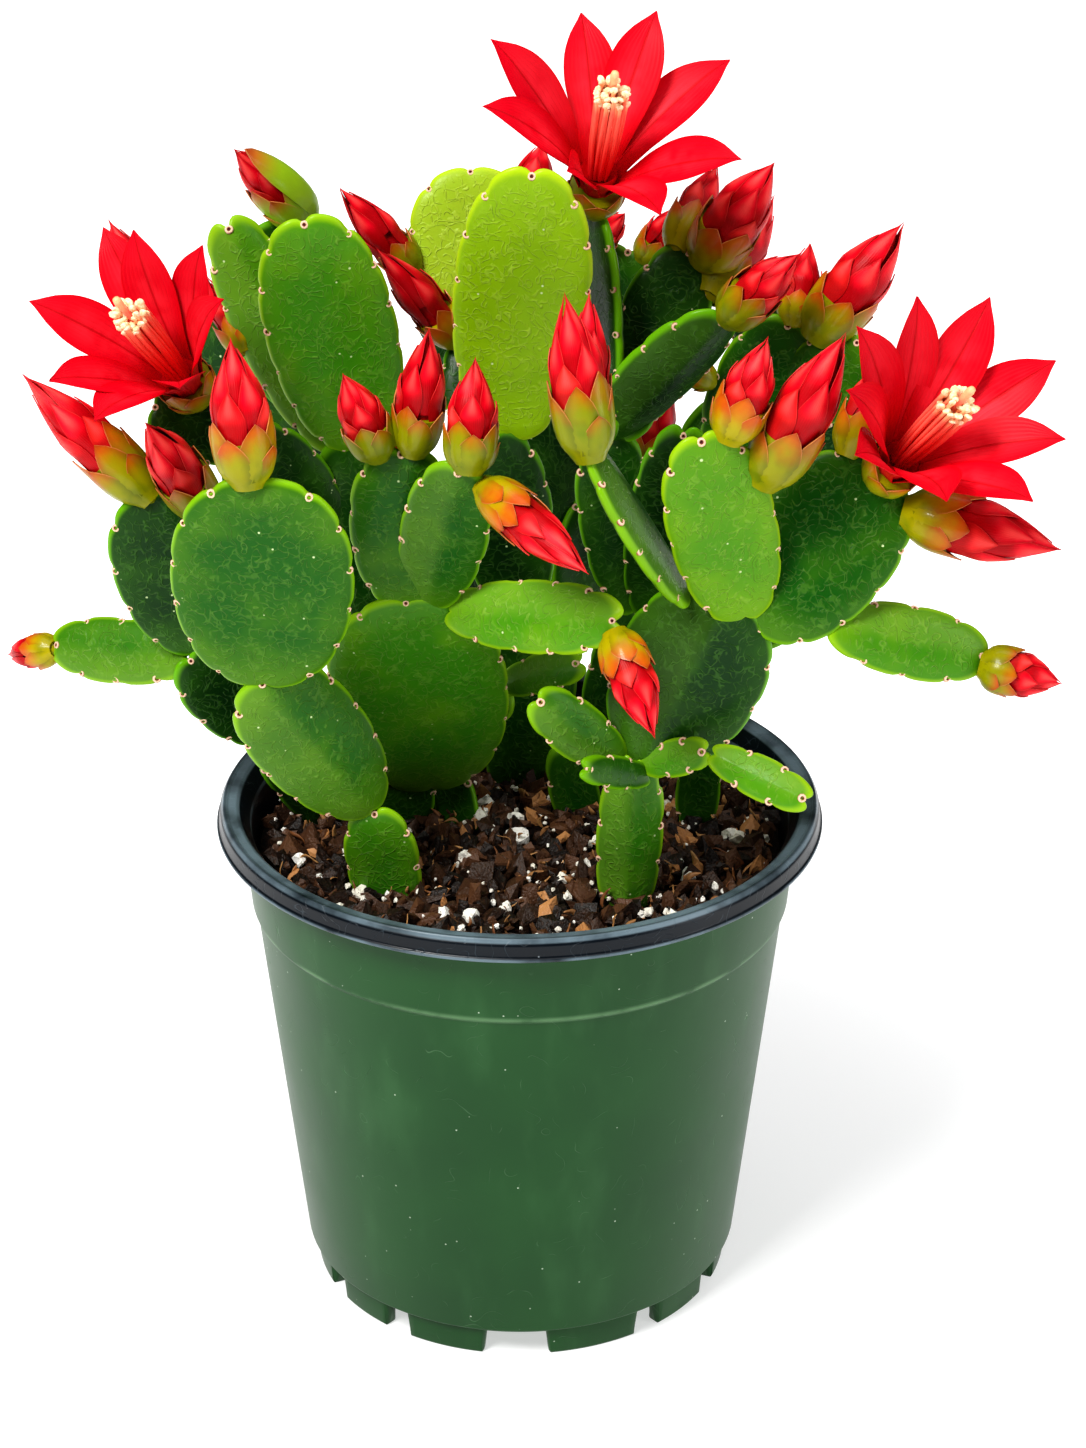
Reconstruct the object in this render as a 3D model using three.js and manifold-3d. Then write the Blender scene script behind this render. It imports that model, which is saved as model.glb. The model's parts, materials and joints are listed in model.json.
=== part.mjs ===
// A potted Easter cactus in bud and flower, in a two-layer thermoformed nursery pot.
// Units are millimetres, +Z is up, the pot stands on z = 0 with its axis on x = y = 0, and -Y is the front.
import * as THREE from "three";
import { mergeVertices } from "three/addons/utils/BufferGeometryUtils.js";
import Module from "manifold-3d";

const wasm = await Module();
wasm.setup();

// ---------------------------------------------------------------- driving dimensions

// A 13 cm nursery pot: a green outer layer, and a dark inner layer that rolls over into the rim.
const POT_SIDES = 32;
const FOOT_RADIUS = 46.6;
const FOOT_HEIGHT = 7;
const FOOT_DEPTH = 2.8;
const WALL_FOOT_RADIUS = 48.7;
const STEP_RADIUS = 57.9;
const STEP_HEIGHT = 91.2;
const COLLAR_TOP_RADIUS = 60.4;
const COLLAR_TOP = 109.2;
const LAYER = 1; // thickness of each layer of the pot wall
const GAP = 0.3; // left between pieces that touch
const RIM_RADIUS = 65.8;
const RIM_TOP = 114.6;
const RIM_INNER_RADIUS = 61.2;

// Notches between the feet: the angle from the front of each and how wide it is, in degrees.
const NOTCH_HEIGHT = 6.2;
const WIDE_NOTCHES = [-1, 179];
const WIDE_NOTCH = 16;
const NARROW_NOTCHES = [37, 64, 90, 116, 143, -143, -116, -90, -61, -35.5];
const NARROW_NOTCH = 6;

// Potting mix: its height at the wall, how far it mounds up, and the bark chips that show in it.
const SOIL_EDGE = 103.2;
const SOIL_MOUND = 2.4;
const SOIL_SIDES = 16;
const SOIL_FLOOR = 11.4;
const CHIPS = 15;
const CHIP_SIZE = [2.2, 4.6];
const CHIP_SPREAD = 53; // how far from the middle they lie
const STEM_ROOM = 1; // left on each side of a stem in its hole
const STEM_DEPTH = 2.4; // half of a hole's depth from front to back

// Pads turn their broad side to the light, which comes from the front at this height.
const LIGHT_HEIGHT = 26;
const JOINT_INSET = 0.87; // where on its parent's outline, from centre to edge, a pad or bud is rooted
const CRENATION = 0.035; // depth of the notches round a pad's edge, as a share of its radius
const PAD_SIDES = [8, 10, 14]; // of narrow, middling and broad pads
const PAD_STEPS = [12, 26]; // the widths at which a pad has more sides
const PAD_HALF = 0.9; // half of the thickness of the narrowest pad
const PAD_FATTER = 0.045; // added to it for each millimetre of width
const PAD_SHOULDER = [0.87, 0.75]; // where the face meets the bevelled edge, out and up, as shares
const PAD_TIP = 0.92; // powers that round a pad's outline, lengthways and crossways
const PAD_FLANK = 0.85;
const PAD_SWELL = 0.06; // how much broader it is towards its tip

const BUD_INSET = 0.06; // buds are rooted this much nearer the edge than pads
const CUP_WALL = 0.8;
const SOCKET_DEPTH = 0.45; // how deep a cup's socket reaches, as a share of the cup
const BUD_SIDES = 10;
const SMALL_BUD = 12.5; // buds narrower than this have fewer sides
const SMALL_BUD_SIDES = 8;

const PETAL_THICKNESS = 0.8;
const PETAL_KEEL = 0.5;
const FLOWER_CUP = { width: 11.5, length: 21, green: 0.4 };
const PETAL_WIDTH = 0.34; // of a petal, as a share of the flower's petal length
const TURN_DONE = 0.5; // the share of a petal's length by which it has turned about that length
const SHEAF_HEIGHT = 17; // how far the filaments rise above the throat
const SHEAF_RADIUS = 3; // of the sheaf of filaments at its top
const ANTHERS = 7;
const ANTHER_SIZE = 1.6;
const STYLE_HEIGHT = 25; // of the stigma above the throat

// ---------------------------------------------------------------- how the plant is laid out
// Each stem is a chain of pads. A pad's row is: its name, the pad it grows from (or its root in the
// soil), the angle round that pad's outline from its tip, its own tip, its width, its turn about its
// long side away from the light, and how far its halves fold back along the midrib.

const STEMS = {
  stem_front_left: [
    ["a1", [-27, -26, 97], 0, [-30, -32, 128], 16, 10, 0],
    ["a2", "a1", 0, [-52, -46, 164], 24, 0, 18],
    ["a3", "a2", 0, [-49, -56, 211], 36, 0, 0],
  ],
  stem_left: [
    ["b1", [-36, 12, 97], 0, [-55, -8, 134], 14, 0, 0],
    ["b2", "b1", 0, [-69, -20, 157], 16, 0, 0],
    ["b3", "b2", 5, [-99, -6, 153], 14, 0, 8],
    ["b4", "b2", 20, [-74, -26, 196], 25, 0, 0],
  ],
  stem_center: [
    ["c1", [-28, 6, 97], 0, [-25, -4, 141], 18, 0, 0],
    ["c2", "c1", 100, [-23, -26, 173], 38, 0, 0],
    ["c3", "c2", 0, [-23, -32, 208], 22, 0, 0],
    ["c4", "c2", 10, [-11, -44, 209], 18, 0, 6],
    ["c5", "c2", 20, [21, -52, 179], 15, 0, 8],
  ],
  stem_low: [
    ["d1", [-11, -1, 97], 0, [-17, 7, 124], 10, 20, 0],
    ["d2", "d1", 0, [-3, 2, 140], 13, 0, 0],
    ["d3", "d2", -5, [14, -12, 152], 9, 0, 10],
  ],
  stem_right: [
    ["e1", [22, -32, 97], 0, [24, -36, 142], 14, 0, 22],
    ["e2", "e1", -15, [3, -42, 158], 12, 0, 8],
    ["e3", "e1", 35, [12, -52, 147], 7, 0, 0],
    ["e4", "e1", 5, [39, -44, 147], 8, 0, 8],
    ["e5", "e4", 0, [59, -54, 140], 9, 0, 15],
    ["e6", "e1", 10, [42, -36, 177], 31, 0, 16],
    ["e7", "e6", -25, [13, -48, 216], 22, -72, 8],
    ["e8", "e6", 20, [35, -48, 217], 22, 0, 0],
    ["e9", "e6", 30, [73, -29, 203], 30, 0, 0],
    ["e10", "e9", 125, [96, -30, 161], 15, 0, 6],
  ],
  stem_short: [["f1", [15, 10, 97], 0, [9, 4, 125], 11, 0, 0]],
  stem_young: [["g1", [38, 5, 97], 0, [40, 0, 136], 10, 0, 0]],
  stem_tall_left: [
    ["h1", [-17, 20, 97], 0, [-26, 10, 147], 18, 0, 0],
    ["h2", "h1", -5, [-37, 4, 196], 19, 0, 0],
    ["h3", "h2", 20, [-43, -6, 247], 27, 0, 0],
    ["h4", "h2", -5, [-60, 8, 242], 18, 0, 20],
    ["h5", "h2", -90, [-57, -8, 202], 21, 0, 0],
    ["h6", "h5", 0, [-75, -7, 207], 18, 0, 0],
  ],
  stem_tall_center: [
    ["i1", [0, 24, 97], 0, [0, 14, 154], 18, 0, 0],
    ["i2", "i1", 0, [-5, 2, 199], 20, 0, 0],
    ["i3", "i2", 15, [3, -12, 259], 28, 0, 0],
    ["i4", "i2", -10, [-9, 14, 215], 17, 0, 0],
    ["i5", "i4", 0, [-10, 24, 248], 27, 0, 0],
  ],
  stem_tall_right: [
    ["j1", [18, 24, 97], 0, [26, 14, 154], 18, 0, 0],
    ["j2", "j1", 0, [18, 6, 197], 18, 0, 0],
    ["j3", "j1", 20, [43, 6, 191], 18, 0, 0],
    ["j4", "j2", -10, [42, -8, 227], 18, -45, 14],
    ["j5", "j2", 5, [36, 18, 233], 19, 0, 0],
    ["j6", "j2", 0, [16, 12, 243], 20, 70, 0],
    ["j7", "j3", 0, [56, 4, 222], 19, 0, 0],
    ["j8", "j7", 105, [70, -2, 220], 17, 0, 0],
    ["j9", "j1", 15, [34, -12, 205], 17, 0, 0],
  ],
  stem_back_left: [
    ["q1", [-26, 34, 97], 0, [-36, 42, 146], 18, 0, 0],
    ["q2", "q1", 0, [-46, 40, 190], 30, 22, 0],
    ["q3", "q2", 10, [-51, 34, 234], 30, -15, 0],
    ["q4", "q2", -50, [-76, 52, 206], 32, 30, 0],
    ["q5", "q1", -60, [-70, 56, 158], 28, -20, 0],
  ],
  stem_back_center: [
    ["r1", [2, 40, 97], 0, [4, 52, 148], 20, 0, 0],
    ["r2", "r1", 0, [4, 56, 192], 32, -14, 0],
    ["r3", "r2", -30, [-14, 50, 232], 34, 28, 0],
    ["r4", "r2", 35, [24, 56, 220], 30, 0, 0],
    ["r5", "r1", -60, [-26, 62, 162], 28, 40, 0],
    ["r6", "r1", 60, [26, 63, 166], 26, -40, 0],
  ],
  stem_back_right: [
    ["s1", [28, 32, 97], 0, [40, 42, 148], 18, 0, 0],
    ["s2", "s1", 0, [52, 44, 192], 32, -24, 0],
    ["s3", "s2", 15, [64, 40, 216], 30, 18, 0],
    ["s4", "s2", 60, [82, 54, 188], 30, -20, 0],
    ["s5", "s1", 60, [72, 60, 156], 28, 20, 0],
  ],
};

// A bud's row is: its name, the pad it grows from, the angle round that pad, its tip, its width, and
// the share of its length that the green cup takes.
const BUDS = [
  ["bud_01", "q3", 20, [-59, 24, 252], 10.5, 0.55],
  ["bud_02", "i5", -100, [-37, 14, 247], 8.7, 0.35],
  ["bud_03", "i4", -20, [-29, 2, 238], 9, 0.38],
  ["bud_04", "h4", -90, [-65, 17, 227], 7, 0.4],
  ["bud_05", "b4", 0, [-99, -20, 219], 11.2, 0.42],
  ["bud_06", "b4", 50, [-72, -44, 218], 11, 0.48],
  ["bud_07", "a3", -5, [-54, -52, 238], 12.2, 0.42],
  ["bud_08", "c3", -20, [-34, -36, 225], 9.8, 0.45],
  ["bud_09", "c3", 10, [-17, -32, 233], 10.2, 0.42],
  ["bud_10", "c4", 10, [-8, -38, 229], 10.5, 0.42],
  ["bud_11", "e7", -15, [9, -46, 245], 11.8, 0.45],
  ["bud_12", "e7", 32, [14, -31, 240], 9, 0.42],
  ["bud_13", "c4", 35, [14, -66, 195], 9.8, 0.42],
  ["bud_14", "c5", 15, [27, -66, 160], 9.8, 0.38],
  ["bud_15", "i5", 60, [5, 26, 253], 8.8, 0.3],
  ["bud_16", "r4", -30, [23, 50, 230], 7.4, 0.45],
  ["bud_17", "r4", 10, [35, 52, 231], 7.4, 0.45],
  ["bud_18", "j5", -15, [42, 36, 245], 9.1, 0.45],
  ["bud_19", "j5", 18, [52, 8, 254], 13, 0.45],
  ["bud_20", "j5", 50, [54, 34, 239], 11.3, 0.4],
  ["bud_21", "j4", 5, [56, -14, 242], 10.4, 0.48],
  ["bud_22", "j7", 5, [60, 12, 236], 8.6, 0.4],
  ["bud_23", "j8", -60, [78, 0, 244], 13, 0.42],
  ["bud_24", "e8", 25, [48, -46, 236], 10.4, 0.45],
  ["bud_25", "e8", 70, [63, -46, 237], 12.8, 0.42],
  ["bud_26", "j7", -95, [26, 5, 216], 6.4, 0.3],
  ["bud_27", "e9", -25, [74, -20, 223], 9.1, 0.45],
  ["bud_28", "e9", 35, [108, -40, 189], 13, 0.4],
  ["bud_29", "e10", 10, [111, -34, 157], 10, 0.42],
  ["bud_30", "b3", -5, [-110, 4, 146], 7.2, 0.4],
  ["bud_31", "q4", -10, [-90, 58, 226], 10, 0.42],
  ["bud_32", "q5", 0, [-86, 62, 170], 8, 0.42],
  ["bud_33", "r5", 0, [-33, 66, 181], 9, 0.42],
  ["bud_34", "r6", 10, [34, 67, 187], 9, 0.42],
  ["bud_35", "s4", 10, [102, 66, 192], 9, 0.42],
];

// A flower's row is: its name, its pad, the middle of its throat, the way that its axis points, how far
// down its cup reaches, the length of its petals, and each petal's angle round the axis, share of that
// length, its opening from the axis and its turn about its own length.
const FLOWERS = [
  ["flower_top", "j6", [16.7, 5, 255.1], [0.1, -0.49, 0.866], 14.5, 32,
    [[-93, 1, 53, -9], [-57, 1.05, 50, -6], [-2, 0.95, 59, 0], [31, 1, 54, 0], [63, 1.05, 68, -3],
      [124, 1, 61, 12], [170, 1, 62, 0], [-140, 0.55, 55, -35]]],
  ["flower_left", "h6", [-69.5, -14, 218.2], [-0.36, -0.54, 0.76], 12.5, 30,
    [[-103, 1.05, 39, -9], [-46, 1.05, 58, 0], [-22, 0.95, 38, 10], [22, 0.9, 46, 12], [72, 1, 45, 23],
      [121, 1, 50, -27], [168, 1, 51, -16], [-161, 1, 41, -19]]],
  ["flower_right", "e9", [76.9, -38, 209.5], [0.4, -0.56, 0.73], 13, 32,
    [[-37, 1, 49, -17], [7, 0.95, 48, 0], [45, 1.05, 52, 0], [83, 1.05, 56, 0], [122, 0.95, 51, 0],
      [173, 1, 47, 14], [-140, 1, 48, 31], [-98, 1, 56, 0], [-72, 1, 50, -15]]],
];

// ---------------------------------------------------------------- finishes

const finish = (color, roughness) => new THREE.MeshStandardMaterial({ color, roughness, metalness: 0 });
const GREEN_PLASTIC = finish(0x2a542d, 0.38);
const DARK_PLASTIC = finish(0x1f2a30, 0.35);
const POTTING_MIX = finish(0x3a281e, 0.95);
const PAD_SKIN = finish(0x3f8226, 0.4);
const BUD_SKIN = finish(0xd5101c, 0.4);
const PETAL_SKIN = finish(0xe5141f, 0.45);
const STAMEN_SKIN = finish(0xf3d6b0, 0.6);

// ---------------------------------------------------------------- helpers

const vector = (x, y, z) => new THREE.Vector3(x, y, z);
const radians = THREE.MathUtils.degToRad;
const LIGHT = vector(0, -Math.cos(radians(LIGHT_HEIGHT)), Math.sin(radians(LIGHT_HEIGHT)));

// A repeatable stream of numbers from 0 to 1.
function randomStream(seed) {
  let state = seed;
  return () => {
    state = (state * 1664525 + 1013904223) % 4294967296;
    return state / 4294967296;
  };
}

const between = (random, low, high) => low + (high - low) * random();

// Raises a size to a power and keeps its sign, which rounds or squares an ellipse.
const signedPower = (value, power) => Math.sign(value) * Math.abs(value) ** power;

// A solid from a closed geometry, with its corners merged and its flattened faces dropped.
function solid(geometry) {
  const bare = new THREE.BufferGeometry();
  bare.setAttribute("position", geometry.getAttribute("position"));
  bare.setIndex(geometry.getIndex());
  const merged = mergeVertices(bare, 1e-3);
  const corners = merged.getIndex().array;
  const kept = [];
  for (let i = 0; i < corners.length; i += 3) {
    const [a, b, c] = corners.slice(i, i + 3);
    if (a !== b && b !== c && c !== a) kept.push(a, b, c);
  }
  return new wasm.Manifold(
    new wasm.Mesh({
      numProp: 3,
      vertProperties: new Float32Array(merged.getAttribute("position").array),
      triVerts: new Uint32Array(kept),
    }),
  );
}

const fuse = (solids) => solids.reduce((whole, piece) => whole.add(piece));

// The largest body of a solid, without scraps that a cut left loose.
const largest = (whole) => whole.decompose().reduce((a, b) => (a.volume() > b.volume() ? a : b));

// A named mesh from a solid.
function mesh(name, whole, material) {
  const made = whole.getMesh();
  const geometry = new THREE.BufferGeometry();
  geometry.setAttribute("position", new THREE.BufferAttribute(made.vertProperties, 3));
  geometry.setIndex(new THREE.BufferAttribute(made.triVerts, 1));
  geometry.computeVertexNormals();
  const part = new THREE.Mesh(geometry, material);
  part.name = name;
  return part;
}

// A closed skin over rings of points, each ring running the same way round. It ends in a point at
// both ends: the first and last rings hold one point each.
function skin(rings) {
  const places = [];
  const faces = [];
  const starts = rings.map((ring) => {
    const start = places.length / 3;
    ring.forEach((point) => places.push(point.x, point.y, point.z));
    return start;
  });
  for (let k = 0; k + 1 < rings.length; k++) {
    const lower = rings[k].length;
    const upper = rings[k + 1].length;
    const sides = Math.max(lower, upper);
    for (let i = 0; i < sides; i++) {
      const next = (i + 1) % sides;
      const a = starts[k] + (i % lower);
      const b = starts[k] + (next % lower);
      const c = starts[k + 1] + (i % upper);
      const d = starts[k + 1] + (next % upper);
      if (lower > 1) faces.push(a, b, c);
      if (upper > 1) faces.push(b, d, c);
    }
  }
  const geometry = new THREE.BufferGeometry();
  geometry.setAttribute("position", new THREE.Float32BufferAttribute(places, 3));
  geometry.setIndex(faces);
  return geometry;
}

// A solid of revolution about the pot's axis. The profile's [radius, height] pairs run from the axis
// along the underside, up the outside and back to the axis.
function turned(profile) {
  const points = profile.map(([radius, height]) => new THREE.Vector2(radius, height));
  return solid(new THREE.LatheGeometry(points, POT_SIDES).rotateX(Math.PI / 2));
}

// ---------------------------------------------------------------- the pot

// A block that cuts one notch through the foot ring.
function notchCutter(angle, width) {
  const inner = FOOT_RADIUS - FOOT_DEPTH - 3;
  const outer = FOOT_RADIUS + 4;
  const corner = (radius, turn) => {
    const around = radians(angle + turn);
    return new THREE.Vector2(radius * Math.sin(around), -radius * Math.cos(around));
  };
  const outline = new THREE.Shape([
    corner(inner, -width / 2),
    corner(outer, -width / 2),
    corner(outer, width / 2),
    corner(inner, width / 2),
  ]);
  const block = new THREE.ExtrudeGeometry(outline, { depth: NOTCH_HEIGHT + 1, bevelEnabled: false });
  return solid(block.translate(0, 0, -1));
}

// The green outer layer: foot ring, straight taper, a small step, and a collar up to the rim.
function potBody() {
  const shell = turned([
    [0, FOOT_HEIGHT],
    [FOOT_RADIUS - FOOT_DEPTH, FOOT_HEIGHT],
    [FOOT_RADIUS - FOOT_DEPTH - 0.3, 0],
    [FOOT_RADIUS, 0],
    [FOOT_RADIUS + 0.6, FOOT_HEIGHT],
    [WALL_FOOT_RADIUS, FOOT_HEIGHT + 0.5],
    [STEP_RADIUS, STEP_HEIGHT],
    [STEP_RADIUS + 0.9, STEP_HEIGHT + 0.8],
    [COLLAR_TOP_RADIUS, COLLAR_TOP],
    [COLLAR_TOP_RADIUS - LAYER, COLLAR_TOP],
    [STEP_RADIUS - LAYER, STEP_HEIGHT],
    [WALL_FOOT_RADIUS - LAYER, FOOT_HEIGHT + 2],
    [0, FOOT_HEIGHT + 2],
  ]);
  const wide = WIDE_NOTCHES.map((angle) => notchCutter(angle, WIDE_NOTCH));
  const narrow = NARROW_NOTCHES.map((angle) => notchCutter(angle, NARROW_NOTCH));
  return shell.subtract(fuse([...wide, ...narrow]));
}

// The dark inner layer: it lines the wall and floor, and turns out and down into a banded rim.
function potLiner() {
  const outside = LAYER + GAP;
  const inside = outside + LAYER;
  const floor = FOOT_HEIGHT + 2 + GAP;
  return turned([
    [0, floor],
    [WALL_FOOT_RADIUS - outside, floor],
    [STEP_RADIUS - outside, STEP_HEIGHT],
    [COLLAR_TOP_RADIUS - outside, COLLAR_TOP + GAP],
    [RIM_RADIUS - 0.8, COLLAR_TOP + GAP],
    [RIM_RADIUS, COLLAR_TOP + 0.9],
    [RIM_RADIUS - 0.6, RIM_TOP - 0.8],
    [RIM_RADIUS - 1.4, RIM_TOP],
    [RIM_INNER_RADIUS, RIM_TOP],
    [RIM_INNER_RADIUS - 0.9, RIM_TOP - 1.2],
    [COLLAR_TOP_RADIUS - inside, COLLAR_TOP - 1],
    [STEP_RADIUS - inside, STEP_HEIGHT],
    [WALL_FOOT_RADIUS - inside, floor + LAYER],
    [0, floor + LAYER],
  ]);
}

// ---------------------------------------------------------------- pads

// A pad grows from its base to its tip. Its frame runs along its length, across its width and out of
// its lit face.
function grownFrom(base, tip, turn) {
  const along = tip.clone().sub(base);
  const length = along.length();
  along.normalize();
  const facing = LIGHT.clone().addScaledVector(along, -LIGHT.dot(along)).normalize();
  facing.applyAxisAngle(along, -radians(turn));
  const across = along.clone().cross(facing);
  return { base, length, along, across, facing };
}

// A point of a pad: the angle from its tip, how far out towards its edge, and how high off its middle.
function padPoint(pad, angle, reach, lift) {
  const step = (pad.length / 2) * (1 + reach * signedPower(Math.cos(angle), PAD_TIP));
  const swell = 1 + PAD_SWELL * Math.cos(angle);
  const side = reach * (pad.width / 2) * signedPower(Math.sin(angle), PAD_FLANK) * swell;
  const folded = lift - Math.abs(side) * Math.tan(radians(pad.fold));
  return pad.base
    .clone()
    .addScaledVector(pad.along, step)
    .addScaledVector(pad.across, side)
    .addScaledVector(pad.facing, folded);
}

// The solid of one pad: a crenate edge between two bevelled faces.
function padSolid(pad) {
  const sides = PAD_SIDES[PAD_STEPS.filter((step) => pad.width >= step).length];
  const half = PAD_HALF + PAD_FATTER * pad.width;
  const [out, up] = PAD_SHOULDER;
  const ring = (reach, lift, crenation) =>
    Array.from({ length: sides }, (_, i) => {
      const notch = i % 2 ? 1 - crenation : 1;
      return padPoint(pad, (2 * Math.PI * i) / sides, reach * notch, lift);
    });
  return solid(
    skin([
      [padPoint(pad, 0, 0, half)],
      ring(out, up * half, 0),
      ring(1, 0, CRENATION),
      ring(out, -up * half, 0),
      [padPoint(pad, 0, 0, -half)],
    ]),
  );
}

// All pads by name, each placed on the one that it grows from.
const pads = {};
for (const rows of Object.values(STEMS)) {
  for (const [name, from, at, tip, width, turn, fold] of rows) {
    const rooted = Array.isArray(from);
    const base = rooted ? vector(...from) : padPoint(pads[from], radians(at), JOINT_INSET, 0);
    pads[name] = { ...grownFrom(base, vector(...tip), turn), width, fold, rooted };
  }
}

// ---------------------------------------------------------------- buds

// How wide a bud is along its length, as a share of its greatest width.
const BUD_OUTLINE = [
  [0, 0.42],
  [0.1, 0.74],
  [0.25, 0.98],
  [0.4, 1],
  [0.55, 0.9],
  [0.7, 0.69],
  [0.85, 0.38],
  [1, 0],
];

function budRadius(bud, share) {
  const next = Math.max(1, BUD_OUTLINE.findIndex(([place]) => place >= share));
  const [low, lowWidth] = BUD_OUTLINE[next - 1];
  const [high, highWidth] = BUD_OUTLINE[next];
  const blend = (share - low) / (high - low);
  return (bud.width / 2) * (lowWidth + blend * (highWidth - lowWidth));
}

// A ring round a bud's axis. Its points alternate between two places along the bud, which draws a
// crown of pointed scales.
function budRing(bud, valley, point, inset) {
  return Array.from({ length: bud.sides }, (_, i) => {
    const share = i % 2 ? point : valley;
    const radius = Math.max(budRadius(bud, share) - inset, 0.25);
    const around = (2 * Math.PI * i) / bud.sides;
    return bud.base
      .clone()
      .addScaledVector(bud.along, share * bud.length)
      .addScaledVector(bud.facing, radius * Math.cos(around))
      .addScaledVector(bud.across, radius * Math.sin(around));
  });
}

const onAxis = (bud, share) => [bud.base.clone().addScaledVector(bud.along, share * bud.length)];

// The green cup: a bulb with a crown of pointed scales round a socket.
function cupSolid(bud) {
  const socket = bud.green * SOCKET_DEPTH;
  return solid(
    skin([
      onAxis(bud, -0.06),
      budRing(bud, 0.18, 0.18, 0),
      budRing(bud, bud.green - 0.05, bud.green + 0.1, 0),
      budRing(bud, bud.green - 0.05, bud.green + 0.08, CUP_WALL),
      onAxis(bud, socket),
    ]),
  );
}

// The red part: two crowns of overlapping pointed tepals round a closed tip, standing in the cup.
function budSolid(bud) {
  const floor = bud.green * SOCKET_DEPTH + (2 * GAP) / bud.length;
  const inside = CUP_WALL + GAP + 0.1;
  const mouth = bud.green + 0.09;
  const beyond = (share) => mouth + share * (1 - mouth);
  return solid(
    skin([
      onAxis(bud, floor),
      budRing(bud, mouth, mouth, inside),
      budRing(bud, beyond(0.38), beyond(0.14), 0.2),
      budRing(bud, beyond(0.38), beyond(0.14), 0.7),
      budRing(bud, beyond(0.5), beyond(0.74), 0.2),
      budRing(bud, beyond(0.5), beyond(0.74), 0.6),
      onAxis(bud, 1),
    ]),
  );
}

const buds = BUDS.map(([name, from, at, tip, width, green]) => {
  const base = padPoint(pads[from], radians(at), JOINT_INSET + BUD_INSET, 0);
  const sides = width < SMALL_BUD ? SMALL_BUD_SIDES : BUD_SIDES;
  return { ...grownFrom(base, vector(...tip), 0), name, from, width, green, sides };
});

// ---------------------------------------------------------------- flowers

// How wide a petal is along its length, as a share of its greatest width.
const PETAL_OUTLINE = [
  [0, 0.25],
  [0.33, 0.78],
  [0.62, 1],
];

// One petal, of the inner or outer whorl: it leaves the throat along the flower's axis, arches out to
// its tip, turning a little about its own length, and has a keel along its underside.
function petalSolid(flower, around, share, opening, turn, outer) {
  const out = flower.up
    .clone()
    .multiplyScalar(Math.cos(radians(around)))
    .addScaledVector(flower.right, Math.sin(radians(around)));
  const reach = flower.petalLength * share;
  const open = radians(opening);
  const tip = flower.throat
    .clone()
    .addScaledVector(flower.along, reach * Math.cos(open))
    .addScaledVector(out, reach * Math.sin(open));
  const root = flower.throat
    .clone()
    .addScaledVector(flower.along, -3)
    .addScaledVector(out, 3.5 + 0.5 * outer);
  const knee = flower.throat
    .clone()
    .addScaledVector(flower.along, 0.42 * reach * Math.cos(open) + 1.6 - 1.2 * outer)
    .addScaledVector(out, 0.34 * reach * Math.sin(open) + 1.4 + 1.4 * outer);
  const path = new THREE.QuadraticBezierCurve3(root, knee, tip);
  const side = out.clone().cross(flower.along).normalize();
  const width = flower.petalLength * PETAL_WIDTH * (0.55 + 0.45 * share);
  const rings = PETAL_OUTLINE.map(([place, wide]) => {
    const turned = radians(turn) * Math.min(1, place / TURN_DONE);
    const tangent = path.getTangent(place);
    const span = side.clone().applyAxisAngle(tangent, turned);
    const back = span.clone().cross(tangent).negate();
    const half = (width / 2) * wide;
    const thick = PETAL_THICKNESS / 2;
    const corner = (across, lift) =>
      path.getPoint(place).addScaledVector(span, across).addScaledVector(back, lift);
    return [
      corner(half, -thick),
      corner(half, thick),
      corner(0, thick + PETAL_KEEL * (0.2 + place)),
      corner(-half, thick),
      corner(-half, -thick),
    ];
  });
  return solid(skin([[path.getPoint(0)], ...rings, [path.getPoint(1)]]));
}

// A ring round a flower's axis, measured from the middle of its throat.
function throatRing(flower, height, radius, sides = 6) {
  return Array.from({ length: sides }, (_, i) => {
    const around = (2 * Math.PI * i) / sides;
    return flower.throat
      .clone()
      .addScaledVector(flower.along, height)
      .addScaledVector(flower.up, radius * Math.cos(around))
      .addScaledVector(flower.right, -radius * Math.sin(around));
  });
}

const onThroat = (flower, height) => [flower.throat.clone().addScaledVector(flower.along, height)];

// The petals, fused to the short tube that stands in the green cup.
function petalsSolid(flower) {
  const foot = FLOWER_CUP.green * SOCKET_DEPTH * FLOWER_CUP.length - flower.depth + 2 * GAP;
  const tube = skin([
    onThroat(flower, foot),
    throatRing(flower, foot + 5.6, 3.9, 8),
    throatRing(flower, -0.5, 4.8, 8),
    throatRing(flower, -0.5, 3.3, 8),
    throatRing(flower, -5, 2.4, 8),
    onThroat(flower, -5),
  ]);
  const petals = flower.petals.map((petal, i) => petalSolid(flower, ...petal, i % 2));
  return fuse([solid(tube), ...petals]);
}

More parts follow.
